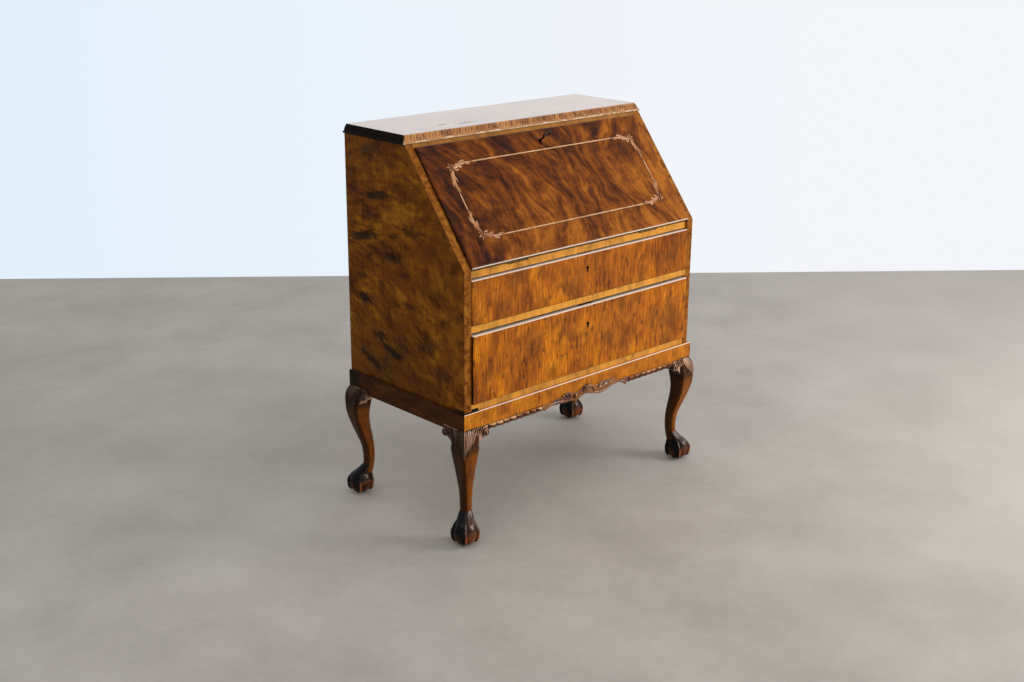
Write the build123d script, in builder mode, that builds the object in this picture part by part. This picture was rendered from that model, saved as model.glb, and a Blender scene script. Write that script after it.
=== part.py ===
# Slant fall front secretaire on a cabriole leg frame, with two long drawers
# Millimetres, +Z up, +X to the right of someone facing the desk, front towards -Y.
# The origin is on the floor, under the centre of the four feet.
import math
import os

from build123d import *

# Case
CASE_WIDTH = 877.0
CASE_DEPTH = 474.0
SIDE_THICK = 23.0
BACK_THICK = 12.0
BACK_REBATE = 10.0
RAIL_HEIGHT = 19.0
RAIL_DEPTH = 62.0
LOWER_DRAWER_ROOM = 189.0
UPPER_DRAWER_ROOM = 121.0
FALL_RAIL_ROOM = 25.0
SLOPE_RISE = 284.0
SLOPE_RUN = 222.7
BED_THICK = 15.0
RUNNER_WIDTH = 50.0
DUST_BOARD_THICK = 8.0
STOP_LENGTH = 30.0
STOP_DEPTH = 12.0

# Top board and its mouldings
TOP_THICK = 23.0
TOP_INSET = 7.5
TOP_FRONT_INSET = 12.3
MOULD_PROJECTION = 13.5
MOULD_BEAD = 2.5
MOULD_FILLET = 2.0

# Base frame and legs
LEG_HEIGHT = 325.0
FRAME_HEIGHT = 44.0
FRAME_STEP = 8.0
POST_SIZE = 51.0
APRON_THICK = 22.0
SIDE_APRON_HEIGHT = 56.0
FRAME_ROUND = 3.0
GADROON_HEIGHT = 15.0
GADROON_PROJECTION = 5.0
CARVING_HALF_WIDTH = 172.0
CARVING_RISE = 20.0
CARVING_DROP = 20.0
CARVING_RELIEF = 7.0
BALL_RADIUS = 32.0
BALL_INSET = 22.6
EAR_REACH = 81.0
EAR_DROP = 52.0
EAR_SCROLL_RADIUS = 11.0
EAR_SCROLL_DROP = 16.0
EAR_PROJECTION = 7.0
CORNER_BLOCK_LEG = 46.0
CORNER_BLOCK_HEIGHT = 32.0

# Fall front
FALL_THICK = 16.0
FALL_PROUD = 8.0
HEAD_STRIP = 12.0
HEAD_RAIL_DEPTH = 52.0
HEAD_RAIL_HEIGHT = 18.0
FALL_EDGE_ROUND = 5.0
STRING_HALF_WIDTH = 348.0
STRING_LOW = 73.0
STRING_HIGH = 285.0
STRING_WIDTH = 3.2
STRING_RELIEF = 2.0
CORNER_CARVING_LENGTH = 86.0
CORNER_CARVING_HEIGHT = 84.0
CORNER_CARVING_WIDTH = 22.0
CORNER_CARVING_RELIEF = 3.5

# Drawers
LOWER_FRONT_PROUD = 9.0
LOWER_FRONT_DROP = 4.0
UPPER_FRONT_PROUD = 3.0
UPPER_FRONT_DROP = 1.6
FRONT_THICK = 20.0
FRONT_ROUND = 3.5
DRAWER_SIDE_THICK = 10.0
DRAWER_SIDE_DROP = 9.0
DRAWER_BACK_SPACE = 55.0
DRAWER_BOTTOM_THICK = 6.0
DRAWER_BOTTOM_RAISE = 6.0
DRAWER_GROOVE = 4.0

# Locks, keyholes and key
LOCK_WIDTH = 56.0
LOCK_DEPTH = 10.0
LOCK_WALL = 1.2
LOCK_MARGIN = 18.0
UPPER_KEY_DROP = 39.4
LOWER_KEY_DROP = 52.0
FALL_KEY_DROP = 36.0
BOLT_WIDTH = 18.0
BOLT_THICK = 3.0
BOLT_SET = 2.0
BOLT_HEIGHT = 19.0
BOLT_TRAVEL = 7.0
UPPER_BOLT_TRAVEL = 5.0
LOWER_BOLT_TRAVEL = 8.0
KEYHOLE_RADIUS = 4.6
KEYHOLE_SLOT = 4.6
KEYHOLE_TALL = 16.0
LINER_WALL = 0.9
KEY_SHANK_RADIUS = 2.6
KEY_BIT_THICK = 2.4
KEY_BIT_REACH = 9.0
KEY_BIT_DEPTH = 4.5
KEY_STAND = 24.0
KEY_COLLAR_RADIUS = 4.2
KEY_COLLAR_LENGTH = 4.0
KEY_BOW_HEIGHT = 24.0
KEY_BOW_WIDTH = 26.0
KEY_BOW_WIRE = 2.2
STRIKE_WIDTH = 44.0
STRIKE_THICK = 1.6
STRIKE_COVER = 1.2

# Hinges
HINGE_SPACING = 500.0
HINGE_LENGTH = 70.0
HINGE_BARREL_LENGTH = 23.0
HINGE_LEAF_DEPTH = 28.0
HINGE_LEAF_THICK = 2.0
HINGE_BARREL_RADIUS = 3.2
HINGE_PIN_RADIUS = 1.6

# Folding stays, by places measured from the hinge line
STAY_STUD_BACK = 230.0
STAY_STUD_UP = 120.0
STAY_EYE_OUT = 115.0
STAY_EYE_IN = 19.5
STAY_LINK_WIDTH = 12.0
STAY_LINK_THICK = 2.5
STAY_PLATE_SIZE = 38.0
STAY_PLATE_THICK = 2.0
STAY_RIVET_RADIUS = 2.5
STAY_HEAD_RADIUS = 4.6
STAY_HEAD_THICK = 1.4
STAY_LAYER_GAP = 0.3
STAY_BRACKET_FOOT = 16.0
STAY_STUD_PROJECTION = 1.5
STAY_SLACK_SHARE = 0.0015
STAY_UPPER_SHARE = 0.3

# Screws
SCREW_RADIUS = 1.75
SCREW_HEAD_RADIUS = 3.6
SCREW_LENGTH = 12.0
SCREW_HEAD_DEPTH = 1.8
CASE_SCREW_RADIUS = 2.5
CASE_SCREW_HEAD_RADIUS = 4.8
CASE_SCREW_LENGTH = 44.0

# Writing gallery
GALLERY_FRONT = 30.0
GALLERY_SIDE_GAP = 13.5
GALLERY_BOARD = 8.0
GALLERY_DRAWER_ROOM = 64.0
PIGEONHOLE_ROOM = 132.0
PIGEONHOLES = 6
SMALL_DRAWERS = 3
SMALL_DRAWER_WALL = 6.0
SMALL_KNOB_RADIUS = 7.0
SMALL_KNOB_LENGTH = 16.0

# Clearances, and one overrun for every cut
SIDE_CLEAR = 0.7
RUN_CLEAR = 0.3
FALL_CLEAR = 0.6
HINGE_CLEAR = 0.3
PIN_CLEAR = 0.05
JOINT_CLEAR = 0.05
FRONT_CLEAR = 1.0
OVERRUN = 5.0

# Levels and planes worked out from the driving sizes
inner_half = CASE_WIDTH / 2 - SIDE_THICK
frame_half_width = CASE_WIDTH / 2 + FRAME_STEP
frame_half_depth = (CASE_DEPTH + FRAME_STEP) / 2
case_back = frame_half_depth
case_front = case_back - CASE_DEPTH
back_face = case_back - BACK_THICK
rail_back = case_front + RAIL_DEPTH
drawer_end = back_face - DRAWER_BACK_SPACE
case_bottom = LEG_HEIGHT + FRAME_HEIGHT
lower_floor = case_bottom + RAIL_HEIGHT
lower_ceiling = lower_floor + LOWER_DRAWER_ROOM
upper_floor = lower_ceiling + RAIL_HEIGHT
upper_ceiling = upper_floor + UPPER_DRAWER_ROOM
slope_foot = upper_ceiling + FALL_RAIL_ROOM
case_top = slope_foot + SLOPE_RISE
slope_head = case_front + SLOPE_RUN
desk_top = case_top + TOP_THICK
slope = math.atan2(SLOPE_RISE, SLOPE_RUN)
slope_length = math.hypot(SLOPE_RISE, SLOPE_RUN)
fall_inside = FALL_THICK - FALL_PROUD
fall_length = slope_length - HEAD_STRIP - FALL_CLEAR
hinge_y = case_front + fall_inside * math.sin(slope)
hinge_z = slope_foot - fall_inside * math.cos(slope)
fall_travel = math.pi - slope
fall_plane = Plane(
    origin=(0, case_front, slope_foot),
    x_dir=(1, 0, 0),
    z_dir=(0, -math.sin(slope), math.cos(slope)),
)
hinge_plane = Plane(origin=(0, hinge_y, hinge_z), x_dir=(0, 1, 0), z_dir=(1, 0, 0))
top_half = CASE_WIDTH / 2 - TOP_INSET
top_front = slope_head + TOP_FRONT_INSET

os.makedirs("parts", exist_ok=True)


def save(piece, name):
    """Label a finished piece and write it under its own name."""
    piece.part.label = name
    export_step(piece.part, f"parts/{name}.step")


def block(low, high, mode=Mode.ADD):
    """Box between two opposite corners, in the part being built."""
    sides = [b - a for a, b in zip(low, high)]
    with Locations(tuple((a + b) / 2 for a, b in zip(low, high))):
        Box(*sides, mode=mode)


def block_on(plane, low, high, mode=Mode.ADD):
    """The same box, with its corners given on a plane."""
    sides = [b - a for a, b in zip(low, high)]
    middle = tuple((a + b) / 2 for a, b in zip(low, high))
    with Locations(plane.location * Location(middle)):
        Box(*sides, mode=mode)


def slope_point(along, out):
    """Place in the side view of a point on the slope and its distance out of it."""
    y = case_front + along * math.cos(slope) - out * math.sin(slope)
    z = slope_foot + along * math.sin(slope) + out * math.cos(slope)
    return y, z


# Where each lock sits: the middle of its board's top edge, on the board's inner face
def front_inner(proud):
    return case_front - proud + FRONT_THICK


lower_top = lower_ceiling - LOWER_FRONT_DROP
upper_top = upper_ceiling - UPPER_FRONT_DROP
front_tops = {"drawer_upper": upper_top, "drawer_lower": lower_top}
fall_lock_y, fall_lock_z = slope_point(fall_length, -fall_inside)
lock_planes = {
    "fall": Plane(origin=(0, fall_lock_y, fall_lock_z), x_dir=(1, 0, 0), z_dir=fall_plane.z_dir),
    "drawer_upper": Plane(
        origin=(0, front_inner(UPPER_FRONT_PROUD), upper_top), x_dir=(1, 0, 0), z_dir=(0, -1, 0)
    ),
    "drawer_lower": Plane(
        origin=(0, front_inner(LOWER_FRONT_PROUD), lower_top), x_dir=(1, 0, 0), z_dir=(0, -1, 0)
    ),
}
key_drops = {"fall": FALL_KEY_DROP, "drawer_upper": UPPER_KEY_DROP, "drawer_lower": LOWER_KEY_DROP}
bolt_travels = {
    "fall": BOLT_TRAVEL,
    "drawer_upper": UPPER_BOLT_TRAVEL,
    "drawer_lower": LOWER_BOLT_TRAVEL,
}
board_thick = {"fall": FALL_THICK, "drawer_upper": FRONT_THICK, "drawer_lower": FRONT_THICK}


# Stays: stud on the side, elbow, and eye on the fall, in the side view from the hinge line
def turned(angle, point):
    c, s = math.cos(angle), math.sin(angle)
    return c * point[0] - s * point[1], s * point[0] + c * point[1]


stay_stud = (STAY_STUD_BACK, STAY_STUD_UP)
stay_eye_open = (-STAY_EYE_OUT, STAY_EYE_IN)
stay_eye = turned(-fall_travel, stay_eye_open)
stay_reach = math.dist(stay_stud, stay_eye_open) * (1 + STAY_SLACK_SHARE)
stay_upper = stay_reach * STAY_UPPER_SHARE
stay_lower = stay_reach - stay_upper


def elbow(eye):
    """Elbow of the folding stay for one place of the eye, on the side that folds up and back."""
    away = math.dist(stay_stud, eye)
    along = (stay_upper**2 - stay_lower**2 + away**2) / (2 * away)
    off = math.sqrt(stay_upper**2 - along**2)
    ey, ez = (eye[0] - stay_stud[0]) / away, (eye[1] - stay_stud[1]) / away
    return stay_stud[0] + along * ey + off * ez, stay_stud[1] + along * ez - off * ey


stay_elbow = elbow(stay_eye)
stay_elbow_open = elbow(stay_eye_open)


# Case
def case_side(name, hand):
    """One solid side with its sloping front, rebated for the back."""
    with BuildPart() as side:
        with BuildSketch(Plane.YZ.offset(hand * inner_half)):
            with BuildLine():
                Polyline(
                    (case_front, case_bottom),
                    (case_back, case_bottom),
                    (case_back, case_top),
                    (slope_head, case_top),
                    (case_front, slope_foot),
                    close=True,
                )
            make_face()
        extrude(amount=hand * SIDE_THICK)
        with Locations((hand * inner_half, case_back, (case_bottom + case_top) / 2)):
            Box(2 * BACK_REBATE, 2 * BACK_THICK, case_top - case_bottom + OVERRUN, mode=Mode.SUBTRACT)
        for across in (-1, 1):
            with BuildSketch(Plane.YZ.offset(hand * inner_half)):
                with Locations(stay_screw_place(across)):
                    Circle(SCREW_RADIUS + PIN_CLEAR)
            extrude(amount=hand * SCREW_LENGTH, mode=Mode.SUBTRACT)
    save(side, name)


def stay_screw_place(across):
    """Place of one of the two screws of a stay plate, in the side view."""
    return hinge_y + stay_stud[0] + across * STAY_PLATE_SIZE / 3, hinge_z + stay_stud[1]


case_side("side_left", -1)
case_side("side_right", 1)


def bolt_mortise(lock):
    """Mortise that the bolt of one lock shoots into, with room on every side."""
    depth = bolt_travels[lock] + FRONT_CLEAR + FALL_CLEAR
    with BuildSketch(lock_planes[lock]) as mouth:
        with Locations((0, depth / 2)):
            Rectangle(BOLT_WIDTH + 2 * FRONT_CLEAR, depth)
    cutter_reach = BOLT_SET + BOLT_THICK + FALL_CLEAR
    extrude(mouth.sketch, amount=cutter_reach, mode=Mode.SUBTRACT)


corner_inner_x = frame_half_width - APRON_THICK - CORNER_BLOCK_LEG * 0.3
corner_inner_y = frame_half_depth - POST_SIZE - CORNER_BLOCK_LEG * 0.3


def frame_screw_holes():
    """Holes for the four long screws that come up from the frame."""
    for sx in (-1, 1):
        for sy in (-1, 1):
            with Locations((sx * corner_inner_x, sy * corner_inner_y, case_bottom)):
                Cylinder(
                    CASE_SCREW_RADIUS + PIN_CLEAR,
                    2 * (CASE_SCREW_LENGTH - CORNER_BLOCK_HEIGHT),
                    mode=Mode.SUBTRACT,
                )


with BuildPart() as rail_lower:
    block((-inner_half, case_front, case_bottom), (inner_half, rail_back, lower_floor))
    frame_screw_holes()
save(rail_lower, "rail_lower")

with BuildPart() as rail_middle:
    block((-inner_half, case_front, lower_ceiling), (inner_half, rail_back, upper_floor))
    bolt_mortise("drawer_lower")
save(rail_middle, "rail_middle")


def hinge_bed_recess(x):
    """Recess for one hinge in the rail that carries the writing bed."""
    half = HINGE_LENGTH / 2 + PIN_CLEAR
    block(
        (x - half, hinge_y - OVERRUN, hinge_z - HINGE_LEAF_THICK),
        (x + half, hinge_y + HINGE_LEAF_DEPTH + PIN_CLEAR, hinge_z + OVERRUN),
        Mode.SUBTRACT,
    )
    with BuildSketch(hinge_plane.offset(x - half)) as barrel:
        Circle(HINGE_BARREL_RADIUS + HINGE_CLEAR)
    extrude(barrel.sketch, amount=2 * half, mode=Mode.SUBTRACT)


hinge_places = (-HINGE_SPACING / 2, HINGE_SPACING / 2)
hinge_screw_places = (-HINGE_LENGTH / 3, 0, HINGE_LENGTH / 3)
hinge_screw_set = HINGE_LEAF_DEPTH * 2 / 3

with BuildPart() as rail_upper:
    block(
        (-inner_half, hinge_y + HINGE_CLEAR, upper_ceiling),
        (inner_half, rail_back, hinge_z),
    )
    bolt_mortise("drawer_upper")
    for hinge_x in hinge_places:
        hinge_bed_recess(hinge_x)
        for screw_x in hinge_screw_places:
            with Locations((hinge_x + screw_x, hinge_y + hinge_screw_set, hinge_z)):
                Cylinder(SCREW_RADIUS + PIN_CLEAR, 2 * SCREW_LENGTH, mode=Mode.SUBTRACT)
save(rail_upper, "rail_upper")

with BuildPart() as case_bottom_board:
    block((-inner_half, rail_back, case_bottom), (inner_half, back_face, lower_floor))
    frame_screw_holes()
save(case_bottom_board, "case_bottom_board")

with BuildPart() as writing_bed:
    block((-inner_half, rail_back, hinge_z - BED_THICK), (inner_half, back_face, hinge_z))
save(writing_bed, "writing_bed")

with BuildPart() as dust_board:
    dust_half = inner_half - RUNNER_WIDTH
    dust_level = (lower_ceiling + upper_floor) / 2
    block(
        (-dust_half, rail_back, dust_level - DUST_BOARD_THICK / 2),
        (dust_half, back_face, dust_level + DUST_BOARD_THICK / 2),
    )
save(dust_board, "dust_board")

with BuildPart() as drawer_runners:
    for hand in (-1, 1):
        edges = sorted((hand * inner_half, hand * (inner_half - RUNNER_WIDTH)))
        block((edges[0], rail_back, lower_ceiling), (edges[1], back_face, upper_floor))
save(drawer_runners, "drawer_runners")

with BuildPart() as back_panel:
    back_half = inner_half + BACK_REBATE
    block((-back_half, back_face, case_bottom), (back_half, case_back, case_top))
save(back_panel, "back_panel")

# The stops stand on the boards behind each drawer
with BuildPart() as drawer_stops:
    stop_front = drawer_end + RUN_CLEAR
    for floor in (lower_floor, upper_floor):
        for hand in (-1, 1):
            edges = sorted((hand * (inner_half - STOP_LENGTH), hand * inner_half))
            block(
                (edges[0], stop_front, floor),
                (edges[1], stop_front + STOP_DEPTH, floor + STOP_DEPTH),
            )
save(drawer_stops, "drawer_stops")

with BuildPart() as head_rail:
    head_back = slope_head + HEAD_RAIL_DEPTH
    head_low = case_top - HEAD_RAIL_HEIGHT
    stop_out = -fall_inside - HINGE_CLEAR
    stop_along = (head_low - slope_foot - stop_out * math.cos(slope)) / math.sin(slope)
    with BuildSketch(Plane.YZ.offset(-inner_half)):
        with BuildLine():
            Polyline(
                slope_point(slope_length - HEAD_STRIP, 0),
                (slope_head, case_top),
                (head_back, case_top),
                (head_back, head_low),
                slope_point(stop_along, stop_out),
                slope_point(slope_length - HEAD_STRIP, stop_out),
                close=True,
            )
        make_face()
    extrude(amount=2 * inner_half)
    strike_plane = Plane(
        origin=(0, *slope_point(slope_length - HEAD_STRIP, stop_out)),
        x_dir=(1, 0, 0),
        z_dir=fall_plane.z_dir,
    )
    with BuildSketch(strike_plane):
        with Locations((0, STRIKE_THICK / 2)):
            Rectangle(STRIKE_WIDTH, STRIKE_THICK)
    extrude(amount=-stop_out - STRIKE_COVER, mode=Mode.SUBTRACT)
    bolt_mortise("fall")
save(head_rail, "head_rail")

with BuildPart() as strike_plate:
    with BuildSketch(strike_plane):
        with Locations((0, STRIKE_THICK / 2)):
            Rectangle(STRIKE_WIDTH, STRIKE_THICK)
    extrude(amount=-stop_out - STRIKE_COVER)
    bolt_mortise("fall")
save(strike_plate, "strike_plate")

with BuildPart() as top_board:
    block((-top_half, top_front, case_top), (top_half, case_back, desk_top))
save(top_board, "top_board")


# Top mouldings: a bead below, then a hollow round, with a narrow fillet above
def moulding_outline():
    """Section of the top moulding, from the board's edge outwards and from its foot up."""
    bead_top = 2 * MOULD_BEAD
    shelf = MOULD_PROJECTION - MOULD_BEAD - MOULD_FILLET
    with BuildLine() as outline:
        Line((0, 0), (MOULD_PROJECTION - MOULD_BEAD, 0))
        ThreePointArc(
            (MOULD_PROJECTION - MOULD_BEAD, 0),
            (MOULD_PROJECTION, MOULD_BEAD),
            (MOULD_PROJECTION - MOULD_BEAD, bead_top),
        )
        Line((MOULD_PROJECTION - MOULD_BEAD, bead_top), (shelf, bead_top + MOULD_FILLET / 2))
        RadiusArc(
            (shelf, bead_top + MOULD_FILLET / 2),
            (MOULD_FILLET, TOP_THICK - MOULD_FILLET),
            -1.4 * TOP_THICK,
        )
        Line((MOULD_FILLET, TOP_THICK - MOULD_FILLET), (MOULD_FILLET / 2, TOP_THICK))
        Line((MOULD_FILLET / 2, TOP_THICK), (0, TOP_THICK))
        Line((0, TOP_THICK), (0, 0))
    make_face(outline.line.edges())


with BuildPart() as top_moulding_front:
    front_section = Plane(
        origin=(0, top_front, case_top), x_dir=(0, -1, 0), z_dir=(-1, 0, 0)
    )
    with BuildSketch(front_section):
        moulding_outline()
    extrude(amount=top_half + MOULD_PROJECTION, both=True)
    for hand in (-1, 1):
        mitre = Plane(origin=(hand * top_half, top_front, case_top), z_dir=(-hand, -1, 0))
        split(bisect_by=mitre, keep=Keep.TOP)
save(top_moulding_front, "top_moulding_front")


with BuildPart() as top_moulding_sides:
    left_section = Plane(origin=(-top_half, case_back, case_top), x_dir=(-1, 0, 0), z_dir=(0, 1, 0))
    with BuildSketch(left_section):
        moulding_outline()
    extrude(amount=-(case_back - top_front + MOULD_PROJECTION))
    split(bisect_by=Plane(origin=(-top_half, top_front, case_top), z_dir=(-1, 1, 0)), keep=Keep.TOP)
    mirror(about=Plane.YZ)
save(top_moulding_sides, "top_moulding_sides")


# Legs. Each station is a height share of the leg, then shares of the post's size: how far the
# section's middle lies out along the diagonal, and its side. The last is the corner's share.
LEG_STATION_SHARES = (
    (1.0, -0.707, 1.0, 0.06),
    (0.953, -0.52, 1.118, 0.12),
    (0.905, -0.47, 1.178, 0.14),
    (0.848, -0.431, 1.15, 0.17),
    (0.775, -0.41, 1.06, 0.20),
    (0.696, -0.46, 0.94, 0.24),
    (0.608, -0.6, 0.84, 0.30),
    (0.532, -0.75, 0.765, 0.36),
    (0.456, -0.885, 0.68, 0.42),
    (0.38, -0.945, 0.64, 0.46),
    (0.31, -0.95, 0.615, 0.48),
    (0.25, -0.9, 0.61, 0.48),
    (0.2, -0.79, 0.70, 0.48),
)
# Claws grip the ball: share of the way from ankle to ball centre, reach and height in shares of
# the ball's radius, and the toe's thickness in the same share.
CLAW_SHARES = (
    (0.0, 0.26, 2.6, 0.22),
    (0.45, 0.52, 2.2, 0.22),
    (0.85, 0.84, 1.66, 0.22),
    (1.0, 1.0, 1.05, 0.22),
    (1.0, 0.97, 0.56, 0.16),
    (1.0, 0.85, 0.26, 0.11),
)
corner_x = -frame_half_width
corner_y = -frame_half_depth
ball_x = corner_x + BALL_INSET / math.sqrt(2)
ball_y = corner_y + BALL_INSET / math.sqrt(2)
ball_z = BALL_RADIUS * 0.96
ankle_offset = -LEG_STATION_SHARES[-3][1] * POST_SIZE / math.sqrt(2)
ankle_x = corner_x + ankle_offset
ankle_y = corner_y + ankle_offset


outwards = {
    "front": Axis((0, 0, 0), (0, -1, 0)),
    "left": Axis((0, 0, 0), (-1, 0, 0)),
    "right": Axis((0, 0, 0), (1, 0, 0)),
}


def round_over(piece, *ways):
    """Round the top outer edges of a frame piece that face these ways."""
    top = piece.edges().group_by(Axis.Z)[-1]
    fillet([top.sort_by(outwards[way])[-1] for way in ways], FRAME_ROUND)


def claw_centre(shares, direction):
    """Middle of a toe at one of its stations, on the side of the ball that it grips."""
    along, reach, height, thick = shares
    x = ankle_x + (ball_x - ankle_x) * along + reach * BALL_RADIUS * math.cos(direction)
    y = ankle_y + (ball_y - ankle_y) * along + reach * BALL_RADIUS * math.sin(direction)
    return Vector(x, y, height * BALL_RADIUS)


def claw(direction):
    """One tapering toe, lofted through round sections that follow its bend."""
    centres = [claw_centre(shares, direction) for shares in CLAW_SHARES]
    last = len(centres) - 1
    rounds = []
    for index, (centre, shares) in enumerate(zip(centres, CLAW_SHARES)):
        heading = centres[min(index + 1, last)] - centres[max(index - 1, 0)]
        sideways = Vector(-math.sin(direction), math.cos(direction), 0)
        with BuildSketch(Plane(origin=centre, x_dir=sideways, z_dir=heading)) as toe_round:
            Circle(shares[3] * BALL_RADIUS)
        rounds.append(toe_round.sketch)
    loft(rounds)


with BuildPart() as leg_front_left:
    for height, out, side_share, round_share in reversed(LEG_STATION_SHARES):
        middle = out * POST_SIZE / math.sqrt(2)
        side = side_share * POST_SIZE
        with BuildSketch(Plane.XY.offset(height * LEG_HEIGHT)):
            with Locations((corner_x - middle, corner_y - middle)):
                RectangleRounded(side, side, round_share * side)
    loft()
    block(
        (corner_x, corner_y, LEG_HEIGHT),
        (corner_x + POST_SIZE, corner_y + POST_SIZE, case_bottom),
    )
    with Locations((ball_x, ball_y, ball_z)):
        Sphere(BALL_RADIUS)
    for toe_direction in (225, 135, 315, 45):
        claw(math.radians(toe_direction))
    with Locations((ball_x, ball_y, -BALL_RADIUS)):
        Box(4 * BALL_RADIUS, 4 * BALL_RADIUS, 2 * BALL_RADIUS, mode=Mode.SUBTRACT)
    round_over(leg_front_left, "front", "left")
save(leg_front_left, "leg_front_left")


def mirrored(source, name, planes):
    """Copy of a piece on another side of the desk."""
    with BuildPart() as copy:
        add(source.part)
        for plane in planes:
            mirror(about=plane, mode=Mode.REPLACE)
    save(copy, name)
    return copy


leg_front_right = mirrored(leg_front_left, "leg_front_right", [Plane.YZ])
leg_back_left = mirrored(leg_front_left, "leg_back_left", [Plane.XZ])
leg_back_right = mirrored(leg_front_left, "leg_back_right", [Plane.YZ, Plane.XZ])

# Aprons between the posts
post_inner_x = frame_half_width - POST_SIZE
post_inner_y = frame_half_depth - POST_SIZE

# Lower and upper edges of the carved apron centre, which isn't the same on both sides. Shares of
# its half width, and of its drop below the apron's edge and its rise above it.
CARVING_LOW_SHARES = (
    (-1.0, -0.1), (-0.97, -0.6), (-0.94, -0.8), (-0.9, -0.6), (-0.81, -0.4), (-0.7, -0.48),
    (-0.55, -0.55), (-0.4, -0.6), (-0.25, -0.67), (-0.16, -0.62), (-0.1, -0.4), (-0.03, -0.25),
    (0.06, -0.4), (0.12, -0.55), (0.23, -0.8), (0.36, -0.95), (0.48, -0.7), (0.62, -0.35),
    (0.77, -0.22), (0.86, -0.5), (0.92, -0.9), (0.965, -0.7), (1.0, -0.1),
)
CARVING_HIGH_SHARES = (
    (1.0, 0.1), (0.93, 0.15), (0.87, 0.05), (0.8, 0.08), (0.73, 0.2), (0.67, 0.6), (0.62, 0.77),
    (0.52, 0.7), (0.44, 0.75), (0.36, 0.8), (0.26, 0.5), (0.17, 0.6), (0.11, 0.95), (0.03, 1.0),
    (-0.04, 0.98), (-0.1, 0.75), (-0.17, 0.5), (-0.24, 0.25), (-0.32, 0.5), (-0.38, 0.68),
    (-0.51, 0.67), (-0.57, 0.3), (-0.68, 0.25), (-0.76, 0.1), (-0.87, 0.05), (-1.0, 0.1),
)


def carving_points(shares, raised):
    """One edge of the apron centre, as places on the apron's face."""
    return [
        (
            share_x * CARVING_HALF_WIDTH,
            LEG_HEIGHT + share_z * (CARVING_RISE if share_z > 0 else CARVING_DROP) + raised,
        )
        for share_x, share_z in shares
    ]


front_face = Plane(origin=(0, -frame_half_depth, 0), x_dir=(1, 0, 0), z_dir=(0, -1, 0))

with BuildPart() as apron_front:
    set_back = STRING_WIDTH
    lower = carving_points(CARVING_LOW_SHARES, set_back)
    with BuildSketch(front_face):
        with BuildLine():
            Spline(*lower)
            Polyline(
                lower[-1],
                (post_inner_x, LEG_HEIGHT),
                (post_inner_x, case_bottom),
                (-post_inner_x, case_bottom),
                (-post_inner_x, LEG_HEIGHT),
                lower[0],
            )
        make_face()
    extrude(amount=-APRON_THICK)
    round_over(apron_front, "front")
save(apron_front, "apron_front")

with BuildPart() as apron_carving:
    lower = carving_points(CARVING_LOW_SHARES, 0)
    upper = carving_points(CARVING_HIGH_SHARES, 0)
    with BuildSketch(front_face):
        with BuildLine():
            Spline(*lower)
            Line(lower[-1], upper[0])
            Spline(*upper)
            Line(upper[-1], lower[0])
        make_face()
    extrude(amount=CARVING_RELIEF)
save(apron_carving, "apron_carving")


def apron(name, low, high, *ways):
    """One plain apron board, seen at the side or the back."""
    with BuildPart() as board:
        block(low, high)
        if ways:
            round_over(board, *ways)
    save(board, name)
    return board


side_apron_low = case_bottom - SIDE_APRON_HEIGHT
apron_left = apron(
    "apron_left",
    (-frame_half_width, -post_inner_y, side_apron_low),
    (-frame_half_width + APRON_THICK, post_inner_y, case_bottom),
    "left",
)
apron_right = apron(
    "apron_right",
    (frame_half_width - APRON_THICK, -post_inner_y, side_apron_low),
    (frame_half_width, post_inner_y, case_bottom),
    "right",
)
apron_back = apron(
    "apron_back",
    (-post_inner_x, frame_half_depth - APRON_THICK, side_apron_low),
    (post_inner_x, frame_half_depth, case_bottom),
)

# Gadroon strips under the front apron, from the carved centre to the knee ears
gadroon_end = frame_half_width - EAR_REACH


with BuildPart() as gadroon_strips:
    strip_section = Plane(
        origin=(CARVING_HALF_WIDTH, -frame_half_depth, LEG_HEIGHT), x_dir=(0, 1, 0), z_dir=(1, 0, 0)
    )
    strip_back = APRON_THICK * 0.8
    strip_front = -GADROON_PROJECTION * 0.6
    with BuildSketch(strip_section):
        with BuildLine():
            Line((strip_front, 0), (strip_back, 0))
            Line((strip_back, 0), (strip_back, -GADROON_HEIGHT * 0.4))
            ThreePointArc(
                (strip_back, -GADROON_HEIGHT * 0.4),
                (GADROON_PROJECTION, -GADROON_HEIGHT),
                (strip_front, 0),
            )
        make_face()
    extrude(amount=gadroon_end - CARVING_HALF_WIDTH)
    mirror(about=Plane.YZ)
    add(apron_front.part, mode=Mode.SUBTRACT)
    add(apron_carving.part, mode=Mode.SUBTRACT)
save(gadroon_strips, "gadroon_strips")


# Knee ears: glued beside each knee, along both faces, ending in a round scroll
def ear_block(plane, depth):
    """Ear seen square to its face, from the corner inwards, with its round scroll end."""
    scroll = (EAR_REACH - EAR_SCROLL_RADIUS, -EAR_SCROLL_DROP)
    with BuildSketch(plane) as ear:
        with BuildLine():
            Polyline(
                (POST_SIZE / 2, 0),
                (scroll[0], scroll[1] + EAR_SCROLL_RADIUS),
                (scroll[0], scroll[1] - EAR_SCROLL_RADIUS),
            )
            ThreePointArc(
                (scroll[0], scroll[1] - EAR_SCROLL_RADIUS),
                (POST_SIZE * 1.06, -EAR_DROP * 0.66),
                (POST_SIZE * 0.8, -EAR_DROP),
            )
            Line((POST_SIZE * 0.8, -EAR_DROP), (POST_SIZE / 2, -EAR_DROP))
            Line((POST_SIZE / 2, -EAR_DROP), (POST_SIZE / 2, 0))
        make_face()
        with Locations(scroll):
            Circle(EAR_SCROLL_RADIUS)
    extrude(ear.sketch, amount=depth)


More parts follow.
